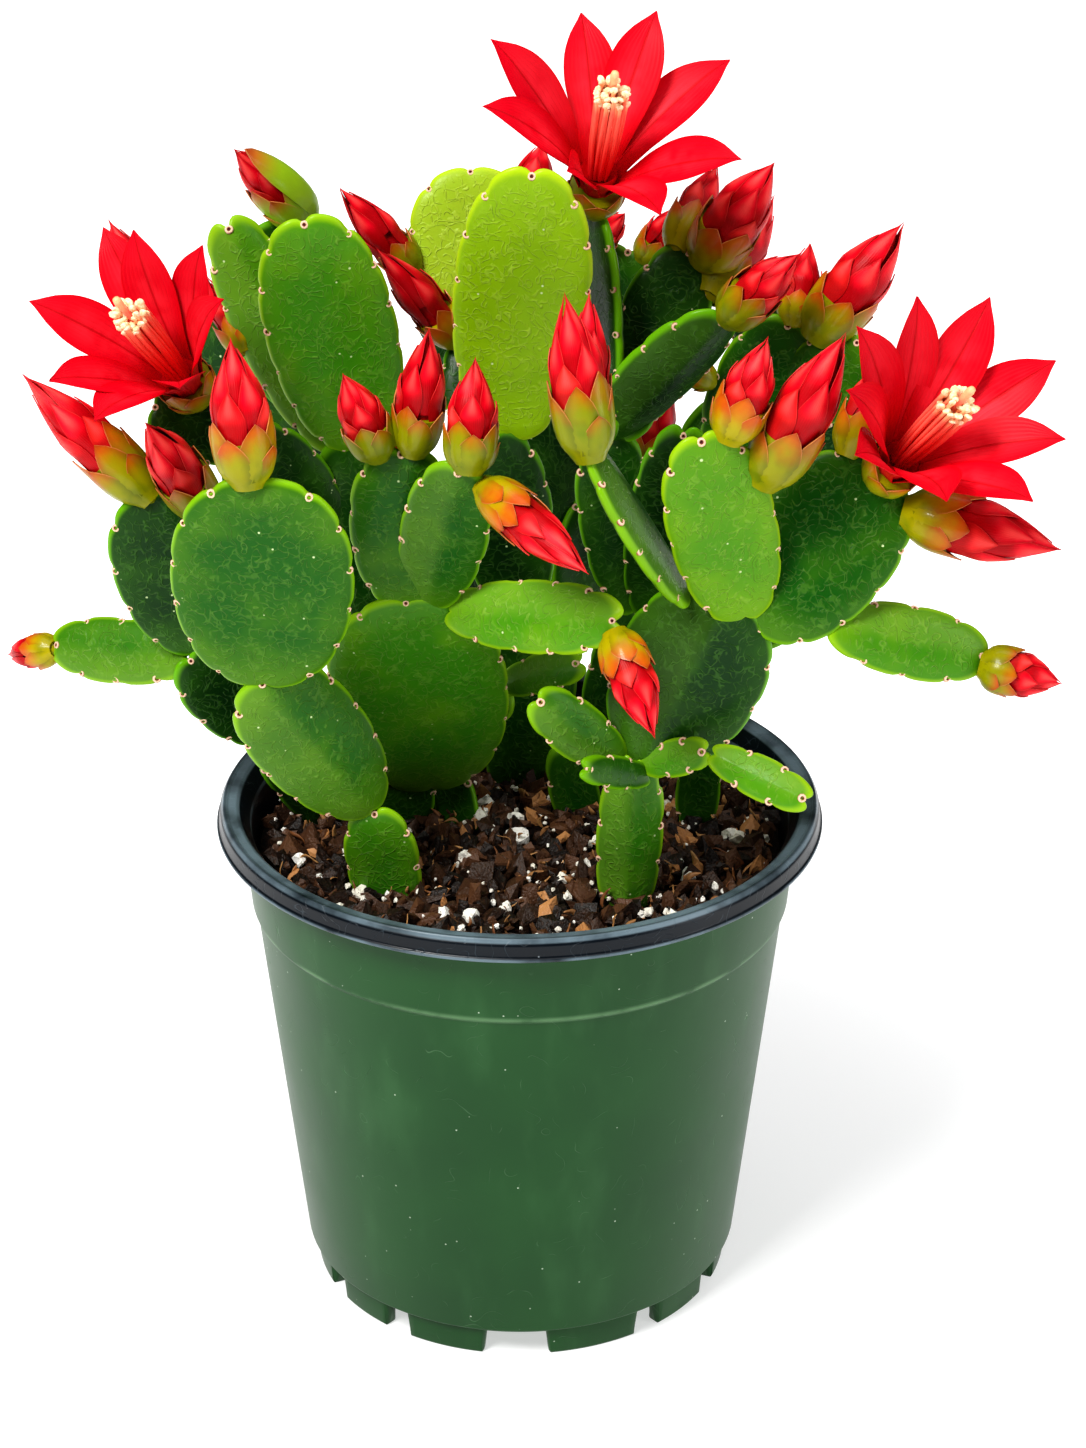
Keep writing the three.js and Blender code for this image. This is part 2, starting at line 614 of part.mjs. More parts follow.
// The stamens: a sheaf of filaments with knobbly anthers round its top, and the style rising from it.
function stamensSolid(flower, random) {
  const sheaf = skin([
    onThroat(flower, -4.6),
    throatRing(flower, -4.6, 1.9),
    throatRing(flower, 2, 2.3),
    throatRing(flower, SHEAF_HEIGHT, SHEAF_RADIUS),
    onThroat(flower, SHEAF_HEIGHT + 3.5),
  ]);
  const style = skin([
    onThroat(flower, SHEAF_HEIGHT - 4),
    throatRing(flower, SHEAF_HEIGHT - 3, 0.7, 4),
    throatRing(flower, STYLE_HEIGHT - 1, 0.8, 4),
    onThroat(flower, STYLE_HEIGHT),
  ]);
  const anthers = Array.from({ length: ANTHERS }, (_, i) => {
    const around = i * radians(137.5);
    const rise = between(random, -0.4, 3.8);
    const radius = SHEAF_RADIUS - 0.45 * rise;
    const place = flower.throat
      .clone()
      .addScaledVector(flower.along, SHEAF_HEIGHT + rise)
      .addScaledVector(flower.up, radius * Math.cos(around))
      .addScaledVector(flower.right, radius * Math.sin(around));
    const knob = new THREE.OctahedronGeometry(ANTHER_SIZE).scale(1, 1, 1.6);
    return solid(knob.rotateZ(around).translate(place.x, place.y, place.z));
  });
  return fuse([solid(sheaf), solid(style), ...anthers]);
}

const flowers = FLOWERS.map(([name, from, middle, aim, depth, petalLength, petals]) => {
  const throat = vector(...middle);
  const axis = vector(...aim).normalize();
  const base = throat.clone().addScaledVector(axis, -depth);
  const tip = base.clone().addScaledVector(axis, FLOWER_CUP.length);
  const up = vector(0, 0, 1).addScaledVector(axis, -axis.z).normalize();
  const right = up.clone().cross(axis);
  const cup = { ...grownFrom(base, tip, 0), ...FLOWER_CUP, from, sides: SMALL_BUD_SIDES };
  return { ...cup, name, throat, depth, petalLength, petals, up, right };
});

// ---------------------------------------------------------------- potting mix

// How much smaller the block is all round than the outside of the pot.
const soilInset = 2 * LAYER + 3 * GAP;
const soilEdgeRadius = COLLAR_TOP_RADIUS - soilInset - 0.8; // the wall still narrows below the rim
const soilHeight = (radius) => SOIL_EDGE + SOIL_MOUND * (1 - (radius / soilEdgeRadius) ** 2);

// Bark chips: squashed, tilted octahedra, half sunk in the surface.
function chipSolid(random) {
  const radius = CHIP_SPREAD * Math.sqrt(random());
  const around = 2 * Math.PI * random();
  const size = between(random, ...CHIP_SIZE);
  const chip = new THREE.OctahedronGeometry(size).scale(1, between(random, 0.5, 0.9), 0.55);
  chip.rotateX(between(random, -0.5, 0.5)).rotateZ(2 * Math.PI * random());
  const height = soilHeight(radius) + size * 0.12;
  return solid(chip.translate(radius * Math.cos(around), radius * Math.sin(around), height));
}

// A plain hole round the foot of a stem, with the stem's lean and a little room all round.
function stemHole(pad) {
  const sides = 8;
  const halfWidth = pad.width / 2 + STEM_ROOM;
  const halfDepth = STEM_DEPTH + halfWidth * Math.tan(radians(pad.fold));
  const ring = (height) => {
    const middle = pad.base.clone().addScaledVector(pad.along, (height - pad.base.z) / pad.along.z);
    return Array.from({ length: sides }, (_, i) => {
      const around = (-2 * Math.PI * (i + 0.5)) / sides;
      return middle
        .clone()
        .addScaledVector(pad.across, halfWidth * Math.cos(around))
        .addScaledVector(pad.facing, halfDepth * Math.sin(around));
    });
  };
  const bottom = SOIL_EDGE - 8;
  const top = SOIL_EDGE + 10;
  return solid(skin([[ring(bottom)[0]], ring(bottom), ring(top), [ring(top)[0]]]));
}

// The block of potting mix: it fills the pot, with a lumpy mounded top and a plain hole for each stem.
function soilSolid() {
  const random = randomStream(7);
  const ring = (radius, height, lump) =>
    Array.from({ length: SOIL_SIDES }, (_, i) => {
      const around = (2 * Math.PI * i) / SOIL_SIDES;
      const lift = between(random, -lump, lump);
      return vector(radius * Math.cos(around), radius * Math.sin(around), height + lift);
    });
  const bed = skin([
    [vector(0, 0, SOIL_FLOOR)],
    ring(WALL_FOOT_RADIUS - soilInset, SOIL_FLOOR, 0),
    ring(STEP_RADIUS - soilInset, STEP_HEIGHT, 0),
    ring(soilEdgeRadius, SOIL_EDGE, 0.4),
    ...[0.8, 0.5, 0.22].map((share) =>
      ring(share * soilEdgeRadius, soilHeight(share * soilEdgeRadius), 0.9),
    ),
    [vector(0, 0, soilHeight(0))],
  ]);
  const chips = Array.from({ length: CHIPS }, () => chipSolid(random));
  const holes = Object.values(pads).filter((pad) => pad.rooted).map(stemHole);
  return largest(fuse([solid(bed), ...chips]).subtract(fuse(holes)));
}

// ---------------------------------------------------------------- the whole plant in its pot

const cactus = new THREE.Group();
cactus.add(mesh("pot_body", potBody(), GREEN_PLASTIC));
cactus.add(mesh("pot_liner", potLiner(), DARK_PLASTIC));
cactus.add(mesh("soil", soilSolid(), POTTING_MIX));

for (const [name, rows] of Object.entries(STEMS)) {
  const names = rows.map(([pad]) => pad);
  const cups = [...buds, ...flowers].filter((cup) => names.includes(cup.from)).map(cupSolid);
  const blades = names.map((pad) => padSolid(pads[pad]));
  cactus.add(mesh(name, fuse([...blades, ...cups]), PAD_SKIN));
}

for (const each of buds) {
  cactus.add(mesh(each.name, budSolid(each), BUD_SKIN));
}

const antherRandom = randomStream(21);
for (const flower of flowers) {
  cactus.add(mesh(flower.name + "_petals", petalsSolid(flower), PETAL_SKIN));
  cactus.add(mesh(flower.name + "_stamens", stamensSolid(flower, antherRandom), STAMEN_SKIN));
}

export default cactus;
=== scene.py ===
"""A potted Easter cactus in bud and flower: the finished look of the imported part.

Sizes are in millimetres and are scaled to metres as each mesh is made. +Z is up, the pot stands on
z = 0 with its axis on x = y = 0, and -Y is the front.
"""

import json
import random
from math import copysign, cos, degrees, exp, pi, radians, sin, sqrt, tan

import bmesh
import bpy
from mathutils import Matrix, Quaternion, Vector, noise

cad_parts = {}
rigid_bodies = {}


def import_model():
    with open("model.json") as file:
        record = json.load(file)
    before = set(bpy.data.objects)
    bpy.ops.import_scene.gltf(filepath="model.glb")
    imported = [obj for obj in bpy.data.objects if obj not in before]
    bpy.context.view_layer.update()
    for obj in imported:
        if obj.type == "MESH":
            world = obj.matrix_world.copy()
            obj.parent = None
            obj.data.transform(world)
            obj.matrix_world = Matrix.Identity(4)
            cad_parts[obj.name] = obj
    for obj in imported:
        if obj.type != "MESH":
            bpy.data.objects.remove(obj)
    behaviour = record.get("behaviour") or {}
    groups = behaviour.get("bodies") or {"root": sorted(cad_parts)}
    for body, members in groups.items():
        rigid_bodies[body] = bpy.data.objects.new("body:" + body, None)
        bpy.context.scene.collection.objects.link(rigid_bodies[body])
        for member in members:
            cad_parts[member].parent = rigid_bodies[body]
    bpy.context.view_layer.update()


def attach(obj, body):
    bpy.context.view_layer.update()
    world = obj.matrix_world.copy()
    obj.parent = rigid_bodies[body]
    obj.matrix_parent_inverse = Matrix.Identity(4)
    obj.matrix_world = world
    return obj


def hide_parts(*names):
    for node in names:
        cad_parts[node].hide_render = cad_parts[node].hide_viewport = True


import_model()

MM = 0.001

# ---------------------------------------------------------------- the pot's green outer layer
# The outside of a 13 cm nursery pot: thin satin plastic drawn over a mould into a straight taper, a
# small step under the collar, and a ring of feet below the floor.

FOOT_RADIUS = 46.6
FOOT_HEIGHT = 7
FOOT_DEPTH = 2.8
FOOT_MIDDLE = FOOT_RADIUS - FOOT_DEPTH / 2
FOOT_STEPS = 14
NOTCH_HEIGHT = 6.2
WALL_FOOT_RADIUS = 48.7
STEP_RADIUS = 57.9
STEP_HEIGHT = 91.2
COLLAR_TOP_RADIUS = 60.4
COLLAR_TOP = 109.2
LAYER = 1
GAP = 0.3
WIDE_NOTCHES = (-1, 179)
WIDE_NOTCH = 16
NARROW_NOTCHES = (37, 64, 90, 116, 143, -143, -116, -90, -61, -35.5)
NARROW_NOTCH = 6
TURNED_SIDES = 160


def shade(red, green, blue):
    """A colour given as a screen shows it, 0 to 255, as the linear colour that a material takes."""
    return tuple((c / 255) ** 2.2 for c in (red, green, blue)) + (1,)


class Wire:
    """One output of a node. Sums on wires add Math nodes."""

    def __init__(self, graph, socket):
        self.graph = graph
        self.socket = socket

    def other(self, output):
        return Wire(self.graph, self.socket.node.outputs[output])

    def maths(self, operation, value=0.5):
        return self.graph.node("ShaderNodeMath", {0: self, 1: value}, operation=operation)

    def __add__(self, value):
        return self.maths("ADD", value)

    def __sub__(self, value):
        return self.maths("SUBTRACT", value)

    def __rsub__(self, value):
        return self * -1 + value

    def __mul__(self, value):
        return self.maths("MULTIPLY", value)

    __radd__ = __add__
    __rmul__ = __mul__

    def between(self, low, high):
        """0 at low and 1 at high, with a soft start and end."""
        span = {"Value": self, "From Min": low, "From Max": high}
        return self.graph.node("ShaderNodeMapRange", span, interpolation_type="SMOOTHSTEP")


class Graph:
    """The nodes of one tree. node() adds any node: its type, its inputs, the output that the wire
    leaves by, and its settings."""

    def __init__(self, tree):
        self.tree = tree

    def node(self, kind, inputs=None, output=0, **settings):
        made = self.tree.nodes.new(kind)
        for name, value in settings.items():
            setattr(made, name, value)
        for name, value in (inputs or {}).items():
            if isinstance(value, Wire):
                self.tree.links.new(value.socket, made.inputs[name])
            else:
                made.inputs[name].default_value = value
        return Wire(self, made.outputs[output])


class Finish(Graph):
    """A material. The values it is made with are set on the shader's own sockets. A colour is a
    wire, or three numbers for shade()."""

    def __init__(self, name, **constants):
        self.material = bpy.data.materials.new(name)
        self.material.use_nodes = True
        super().__init__(self.material.node_tree)
        self.shader = self.tree.nodes["Principled BSDF"]
        for socket, value in constants.items():
            self.shader.inputs[socket.replace("_", " ")].default_value = value
        self.place = self.node("ShaderNodeTexCoord", output="Object")

    def wear(self, **wires):
        """Feeds what varies over the surface to the shader."""
        for socket, wire in wires.items():
            self.tree.links.new(wire.socket, self.shader.inputs[socket.replace("_", " ")])

    def value(self, name):
        return self.node("ShaderNodeAttribute", output="Fac", attribute_name=name)

    def height(self):
        """The height above the table, in millimetres."""
        return self.node("ShaderNodeSeparateXYZ", {"Vector": self.place}, "Z") * (1 / MM)

    def mix(self, factor, *colours):
        """The first colour where the factor is 0, and the second where it is 1."""
        low, high = [shade(*colour) if isinstance(colour, tuple) else colour for colour in colours]
        return self.node("ShaderNodeMix", {0: factor, 6: low, 7: high}, 2, data_type="RGBA")

    def over(self, colour, *layers):
        """A colour with others laid over it in turn, each with the share that it covers first."""
        for share, layer in layers:
            colour = self.mix(share, colour, layer)
        return colour

    def cloud(self, size, detail=2.0, stretch=None):
        """Soft noise from 0 to 1 with features about this many millimetres across."""
        place = self.place
        if stretch:
            place = self.node("ShaderNodeMapping", {"Vector": place, "Scale": stretch})
        return self.node("ShaderNodeTexNoise", {"Vector": place, "Scale": 1 / (size * MM), "Detail": detail})

    def specks(self, pitch, share, radius):
        """Scattered dots: the pitch of their cells in millimetres, the share of cells that hold
        one, and a dot's radius as a share of its cell."""
        cells = self.node("ShaderNodeTexVoronoi", {"Vector": self.place, "Scale": 1 / (pitch * MM)})
        draw = self.node("ShaderNodeSeparateColor", {"Color": cells.other("Color")})
        return cells.between(radius, radius * 0.6) * draw.between(1 - share, 1 - share + 0.01)

    def threads(self, size, turns, width, broken=0.42):
        """Fine wandering lines, as contour lines of soft noise, broken into short strokes."""
        line = (self.cloud(size, 0.5) * turns).maths("PINGPONG").between(width, 0)
        return line * self.cloud(size * 0.7, 1).between(broken, broken + 0.16)

    def net(self, size, width):
        """The curved walls between cells this many millimetres across, broken into short strokes."""
        bend = {0: self.cloud(size * 1.2, 1).other("Color"), 1: (size * 1.6 * MM,) * 3, 2: self.place}
        bent = self.node("ShaderNodeVectorMath", bend, operation="MULTIPLY_ADD")
        walls = {"Vector": bent, "Scale": 1 / (size * MM)}
        cells = self.node("ShaderNodeTexVoronoi", walls, feature="DISTANCE_TO_EDGE")
        return cells.between(width, width * 0.25) * self.cloud(size * 0.8, 1).between(0.4, 0.56)

    def relief(self, height, depth):
        """A Bump node that feeds the shader, its depth in millimetres."""
        self.wear(Normal=self.node("ShaderNodeBump", {"Height": height, "Distance": depth * MM}))


def circle(radius, height, sides=TURNED_SIDES):
    """A ring of points about the pot's axis, or the one point in its middle. The height is a number
    or a rule for it."""
    ring = []
    for i in range(sides if radius else 1):
        x = radius * cos(2 * pi * i / sides)
        y = radius * sin(2 * pi * i / sides)
        ring.append(Vector((x, y, height(x, y) if callable(height) else height)))
    return ring


class Form:
    """A mesh under way: points in millimetres, faces, and named values of each point that its
    finish reads."""

    def __init__(self, *names):
        self.points = []
        self.faces = []
        self.values = {name: [] for name in names}

    def add(self, points, faces, **values):
        start = len(self.points)
        self.points += points
        self.faces += [[start + corner for corner in face] for face in faces]
        for name, held in self.values.items():
            given = values.get(name, 0.0)
            held += given if isinstance(given, list) else [given] * len(points)

    def rings(self, rings, **values):
        """A skin over rings of points. A ring of one point closes an end."""
        faces = []
        start = 0
        for lower, upper in zip(rings, rings[1:]):
            low, high = len(lower), len(upper)
            sides = max(low, high)
            for i in range(sides):
                j = (i + 1) % sides
                face = [start + i % low, start + j % low, start + low + j % high, start + low + i % high]
                faces.append(list(dict.fromkeys(face)))
            start += low
        self.add([point for ring in rings for point in ring], faces, **values)

    def turned(self, profile):
        """A solid of revolution, from the axis along the underside and back."""
        self.rings([circle(radius, height) for radius, height in profile])

    def leaf(self, rows, columns, place, **values):
        """A thin closed leaf of two sheets of points. place() puts each point by its sheet, 0 or 1,
        its share of the way to the tip, and its way across, from -1 to 1."""
        grid = [(j / rows, 2 * i / columns - 1) for j in range(rows + 1) for i in range(columns + 1)]
        width, count = columns + 1, len(grid)
        faces = []
        for a in range(count - width):
            if a % width < columns:
                quad = [a, a + 1, a + width + 1, a + width]
                faces += [quad, [count + corner for corner in reversed(quad)]]
        rim = list(range(width)) + [j * width + columns for j in range(1, rows + 1)]
        rim += [rows * width + i for i in range(columns - 1, -1, -1)]
        rim += [j * width for j in range(rows - 1, 0, -1)]
        faces += [[b, a, count + a, count + b] for a, b in zip(rim, rim[1:] + rim[:1])]
        points = [place(sheet, v, u) for sheet in (0, 1) for v, u in grid]
        self.add(points, faces, tip=[v for v, u in grid] * 2, across=[u for v, u in grid] * 2, **values)

    def mesh(self, finish=None, crease=None):
        made = bpy.data.meshes.new("form")
        made.from_pydata([[c * MM for c in point] for point in self.points], [], self.faces)
        for value, held in self.values.items():
            made.attributes.new(value, "FLOAT", "POINT").data.foreach_set("value", held)
        if finish:
            made.materials.append(finish.material)
        made.shade_smooth()
        if crease:
            made.set_sharp_from_angle(angle=radians(crease))
        return made


def placed(name, data):
    """A new object in the scene."""
    made = bpy.data.objects.new(name, data)
    bpy.context.scene.collection.objects.link(made)
    return made


def piece(name, mesh, slot, *nodes):
    """Puts a finished mesh in the scene, on the part's one body."""
    mesh.name = name
    made = placed(name, mesh)
    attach(made, "root")
    if nodes:
        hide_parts(*nodes)


def rounded(profile, radius, steps=4):
    """The [radius, height] corners of a profile, each eased into an arc."""
    eased = [profile[0]]
    for before, corner, after in zip(profile, profile[1:], profile[2:]):
        corner = Vector(corner)
        ways = [Vector(end) - corner for end in (before, after)]
        back, on = [min(radius, 0.45 * way.length) * way.normalized() for way in ways]
        for step in range(steps + 1):
            t = step / steps
            eased.append(corner + back * (1 - t) ** 2 + on * t**2)
    return eased + [profile[-1]]


# The finish: satin green plastic, dusty, with fine wandering scratches and pale specks.
pot_green = Finish("pot_green", Specular_IOR_Level=0.28)
flecks = pot_green.specks(2.6, 0.2, 0.09)
hairlines = pot_green.threads(8, 6, 0.025, 0.54)
haze = pot_green.cloud(26, 3)
scuffed = pot_green.cloud(9, 5, stretch=(1, 1, 0.35))
height = pot_green.height()
# A pale line along the step: a painted highlight where the ridge catches the light, broken up like wear.
step_highlight_and_wear = height.between(STEP_HEIGHT - 0.3, STEP_HEIGHT + 0.5)
step_highlight_and_wear = step_highlight_and_wear * height.between(STEP_HEIGHT + 2, STEP_HEIGHT + 1) * scuffed.between(0.3, 0.6)
plastic = pot_green.over(
    pot_green.mix(haze, (22, 64, 29), (36, 84, 39)),
    (scuffed.between(0.5, 0.8) * 0.3, (60, 104, 62)),
    (hairlines * 0.3, (104, 146, 104)),
    (step_highlight_and_wear * 0.5, (112, 150, 108)),
    (flecks * 0.75, (196, 212, 190)),
)
pot_green.wear(Base_Color=plastic, Roughness=haze * 0.16 + 0.27 + hairlines * 0.1)
pot_green.relief(hairlines * -0.5 + haze * 0.8, 0.12)

outer = Form()
wall = [
    (0, FOOT_HEIGHT),
    (FOOT_RADIUS - FOOT_DEPTH, FOOT_HEIGHT),
    (FOOT_RADIUS - FOOT_DEPTH, NOTCH_HEIGHT),
    (FOOT_RADIUS + 0.5, NOTCH_HEIGHT),
    (FOOT_RADIUS + 0.6, FOOT_HEIGHT),
    (WALL_FOOT_RADIUS, FOOT_HEIGHT + 0.5),
    (STEP_RADIUS, STEP_HEIGHT),
    (STEP_RADIUS + 0.9, STEP_HEIGHT + 0.8),
    (COLLAR_TOP_RADIUS, COLLAR_TOP),
    (COLLAR_TOP_RADIUS - LAYER, COLLAR_TOP),
    (STEP_RADIUS - LAYER, STEP_HEIGHT),
    (WALL_FOOT_RADIUS - LAYER, FOOT_HEIGHT + 2),
    (0, FOOT_HEIGHT + 2),
]
outer.turned(rounded(wall, 0.45))

# The feet between the notches, each with drafted, rounded ends.
notches = [(angle, WIDE_NOTCH) for angle in WIDE_NOTCHES]
notches += [(angle, NARROW_NOTCH) for angle in NARROW_NOTCHES]
notches.sort()
notches.append((notches[0][0] + 360, notches[0][1]))
END_EASE = ((0, 0.5), (0.25, 0.8), (0.7, 0.95), (1.3, 1))  # degrees in from a foot's end, and size
END_REACH = 1.3
END_DRAFT = 0.9
foot_outline = rounded(
    [
        (FOOT_MIDDLE, 0),
        (FOOT_RADIUS, 0),
        (FOOT_RADIUS + 0.6, FOOT_HEIGHT),
        (FOOT_RADIUS - FOOT_DEPTH, FOOT_HEIGHT),
        (FOOT_RADIUS - FOOT_DEPTH - 0.3, 0),
        (FOOT_MIDDLE, 0),
    ],
    0.6,
)[:-1]
for (left, left_width), (right, right_width) in zip(notches, notches[1:]):
    start, end = left + left_width / 2, right - right_width / 2
    span = end - start - 2 * END_REACH
    cuts = [(start + a, size) for a, size in END_EASE]
    cuts += [(start + END_REACH + span * i / FOOT_STEPS, 1) for i in range(1, FOOT_STEPS)]
    cuts += [(end - a, size) for a, size in reversed(END_EASE)]
    rings = []
    for angle, size in cuts:
        ring = []
        for radius, height in foot_outline:
            drop = FOOT_HEIGHT - height
            lean = END_DRAFT * drop / FOOT_HEIGHT * (1 if angle < (start + end) / 2 else -1)
            t = radians(angle + (lean if size < 1 else 0))
            across = FOOT_MIDDLE + (radius - FOOT_MIDDLE) * size
            up = FOOT_HEIGHT - drop * (0.9 + 0.1 * size)
            ring.append(Vector((across * sin(t), -across * cos(t), up)))
        rings.append(ring)
    caps = [[sum(ring, Vector()) / len(ring)] for ring in (rings[0], rings[-1])]
    outer.rings([caps[0], *rings, caps[1]])
piece("pot_outside", outer.mesh(pot_green), "pot_green", "pot_body")

# ---------------------------------------------------------------- the pot's dark inner layer
# The inside of the same sheet: blue-black plastic that lines the wall and rolls out into a banded
# rim with a flat top, a bevelled band and a thin lip under it.

RIM_RADIUS = 65.8
RIM_TOP = 114.6
RIM_INNER_RADIUS = 61.2

pot_dark = Finish("pot_dark", Specular_IOR_Level=0.3)
scuffs = pot_dark.threads(5, 6, 0.05)
dust = pot_dark.specks(2.2, 0.12, 0.1)
bloom = pot_dark.cloud(14, 4)
height = pot_dark.height()
# Painted highlights: a pale line along the lip under the band and along the rim's top outer corner.
lip_highlight = height.between(COLLAR_TOP + 1.5, COLLAR_TOP + 1.1) * height.between(COLLAR_TOP + 0.1, COLLAR_TOP + 0.6)
corner = height.between(RIM_TOP - 1.1, RIM_TOP - 0.7) * height.between(RIM_TOP + 0.1, RIM_TOP - 0.1)
sheet = pot_dark.over(
    pot_dark.mix(bloom, (5, 11, 17), (15, 26, 35)),
    (scuffs * 0.12, (110, 130, 142)),
    (lip_highlight.maths("MAXIMUM", corner) * bloom.between(0.25, 0.6) * 0.75, (118, 136, 146)),
    (dust * 0.5, (150, 160, 165)),
)
pot_dark.wear(Base_Color=sheet, Roughness=bloom * 0.2 + 0.22)
pot_dark.relief(bloom * 0.6 - scuffs * 0.4, 0.1)

inner = Form()
floor = FOOT_HEIGHT + 2 + GAP
outside = LAYER + GAP
inside = outside + LAYER
lining = [
    (0, floor),
    (WALL_FOOT_RADIUS - outside, floor),
    (STEP_RADIUS - outside, STEP_HEIGHT),
    (COLLAR_TOP_RADIUS - outside, COLLAR_TOP + GAP),
    (RIM_RADIUS - 0.7, COLLAR_TOP + GAP),
    (RIM_RADIUS, COLLAR_TOP + 0.75),
    (RIM_RADIUS, COLLAR_TOP + 1.25),
    (RIM_RADIUS - 0.5, COLLAR_TOP + 1.6),
    (RIM_RADIUS - 0.75, RIM_TOP - 1.3),
    (RIM_RADIUS - 1.15, RIM_TOP - 0.7),
    (RIM_RADIUS - 1.5, RIM_TOP),
    (RIM_RADIUS - 2.2, RIM_TOP),
    (RIM_RADIUS - 2.6, RIM_TOP - 0.35),
    (RIM_INNER_RADIUS + 0.3, RIM_TOP - 0.35),
    (RIM_INNER_RADIUS - 0.5, RIM_TOP - 1.0),
    (COLLAR_TOP_RADIUS - inside + 0.5, COLLAR_TOP + 1.4),
    (COLLAR_TOP_RADIUS - inside, COLLAR_TOP - 1),
    (STEP_RADIUS - inside, STEP_HEIGHT),
    (WALL_FOOT_RADIUS - inside, floor + LAYER),
    (0, floor + LAYER),
]
inner.turned(rounded(lining, 0.3))
piece("pot_inside", inner.mesh(pot_dark), "pot_dark", "pot_liner")

# ---------------------------------------------------------------- the potting mix
# A bed of composted bark that fills the pot, mounded a little, and on it the loose top layer: torn
# bark chips, white perlite, tan husks and fibres.

SOIL_FLOOR = 11.4
SOIL_EDGE = 103.2
SOIL_MOUND = 2.4
BED_INSET = 2 * LAYER + 3 * GAP
BED_RADIUS = COLLAR_TOP_RADIUS - BED_INSET - 0.8
BED_SIDES = 72
BED_RINGS = 26
COVER = 0.975  # the share of the bed's radius that the loose layer covers
COVER_SIDES = 36
COVER_RINGS = 12
HUSK_STEPS = 6


def bed_height(x, y):
    """The height of the mound, with its lumps."""
    rise = SOIL_MOUND * (1 - (x * x + y * y) / BED_RADIUS**2)
    lumps = 0.9 * noise.noise(Vector((x, y, 3)) / 9)
    return SOIL_EDGE + rise + lumps + 0.5 * noise.noise(Vector((x, y, 8)) / 3)


def mound(radius, rings, sides):
    """Rings of points that lie on the mound, from this radius to its middle."""
    return [circle(radius * (1 - i / rings), bed_height, sides) for i in range(rings + 1)]


damp_bark = Finish("damp_bark", Roughness=0.9, Specular_IOR_Level=0.15)
grit = damp_bark.cloud(1.2, 5)
damp_bark.wear(Base_Color=damp_bark.mix(grit.between(0.35, 0.75), (12, 7, 4), (40, 24, 15)))
damp_bark.relief(grit, 0.8)

bed = Form()
bed.rings(
    [
        circle(0, SOIL_FLOOR),
        circle(WALL_FOOT_RADIUS - BED_INSET, SOIL_FLOOR, BED_SIDES),
        circle(STEP_RADIUS - BED_INSET, STEP_HEIGHT, BED_SIDES),
        *mound(BED_RADIUS, BED_RINGS, BED_SIDES),
    ]
)
piece("soil_bed", bed.mesh(damp_bark), "potting_mix", "soil")


def grown(base, tree, coat, shapes=(), **given):
    """Runs a Geometry Nodes tree over a base mesh, with small shapes to set on it, and gives back
    the plain mesh that it makes."""
    box = bpy.data.collections.new("shapes")
    bpy.context.scene.collection.children.link(box)
    for i, shape in enumerate(shapes):
        box.objects.link(bpy.data.objects.new(f"shape_{i}", shape))
    holder = placed("base", base)
    modifier = holder.modifiers.new("grown", "NODES")
    modifier.node_group = tree
    given |= {"Shapes": box, "Finish": coat.material}
    for socket in tree.interface.items_tree:
        if socket.name in given:
            modifier[socket.identifier] = given[socket.name]
    graph = bpy.context.evaluated_depsgraph_get()
    grown_holder = holder.evaluated_get(graph)
    made = bpy.data.meshes.new_from_object(grown_holder, preserve_all_data_layers=True, depsgraph=graph)
    for each in [holder, *box.objects]:
        bpy.data.objects.remove(each)
    bpy.data.collections.remove(box)
    return made


def tree_of(name, **inputs):
    """A Geometry Nodes tree with named inputs: its graph, and the wire of its base mesh."""
    tree = bpy.data.node_groups.new(name, "GeometryNodeTree")
    for label, kind in {"Base": "Geometry", "Finish": "Material", **inputs}.items():
        tree.interface.new_socket(label, in_out="INPUT", socket_type="NodeSocket" + kind)
    tree.interface.new_socket("Made", in_out="OUTPUT", socket_type="NodeSocketGeometry")
    graph = Graph(tree)
    return graph, graph.node("NodeGroupInput", output="Base")


def deliver(graph, base, geometry):
    """Makes instances real, sets the finish and ends the tree."""
    real = graph.node("GeometryNodeRealizeInstances", {"Geometry": geometry})
    coated = graph.node("GeometryNodeSetMaterial", {"Geometry": real, "Material": base.other("Finish")})
    end = graph.tree.nodes.new("NodeGroupOutput")
    graph.tree.links.new(coated.socket, end.inputs["Made"])


# Scatters shapes over the bed, each turned and sized at random, with its own tone.
scatter, ground = tree_of(
    "scatter", Shapes="Collection", Crowd="Float", Seed="Int", Small="Float", Large="Float", Lift="Float"
)
seed = ground.other("Seed")
spots = scatter.node(
    "GeometryNodeDistributePointsOnFaces", {"Mesh": ground, "Density": ground.other("Crowd"), "Seed": seed}
)
lift = scatter.node("ShaderNodeCombineXYZ", {"Z": ground.other("Lift")})
half_turn = {0: (-pi,) * 3, 1: (pi,) * 3, "Seed": seed}
sizes = {2: ground.other("Small"), 3: ground.other("Large"), "Seed": seed}
box = {"Collection": ground.other("Shapes"), "Separate Children": True, "Reset Children": True}
laid = scatter.node(
    "GeometryNodeInstanceOnPoints",
    {
        "Points": scatter.node("GeometryNodeSetPosition", {"Geometry": spots, "Offset": lift}),
        "Instance": scatter.node("GeometryNodeCollectionInfo", box),
        "Pick Instance": True,
        "Rotation": scatter.node("FunctionNodeRandomValue", half_turn, data_type="FLOAT_VECTOR"),
        "Scale": scatter.node("FunctionNodeRandomValue", sizes, 1),
    },
)
tone = scatter.node("FunctionNodeRandomValue", {2: 0.0, 3: 1.0, "Seed": 5}, 1)
toned = {"Geometry": laid, "Name": "tone", "Value": tone}
deliver(scatter, ground, scatter.node("GeometryNodeStoreNamedAttribute", toned, domain="INSTANCE"))


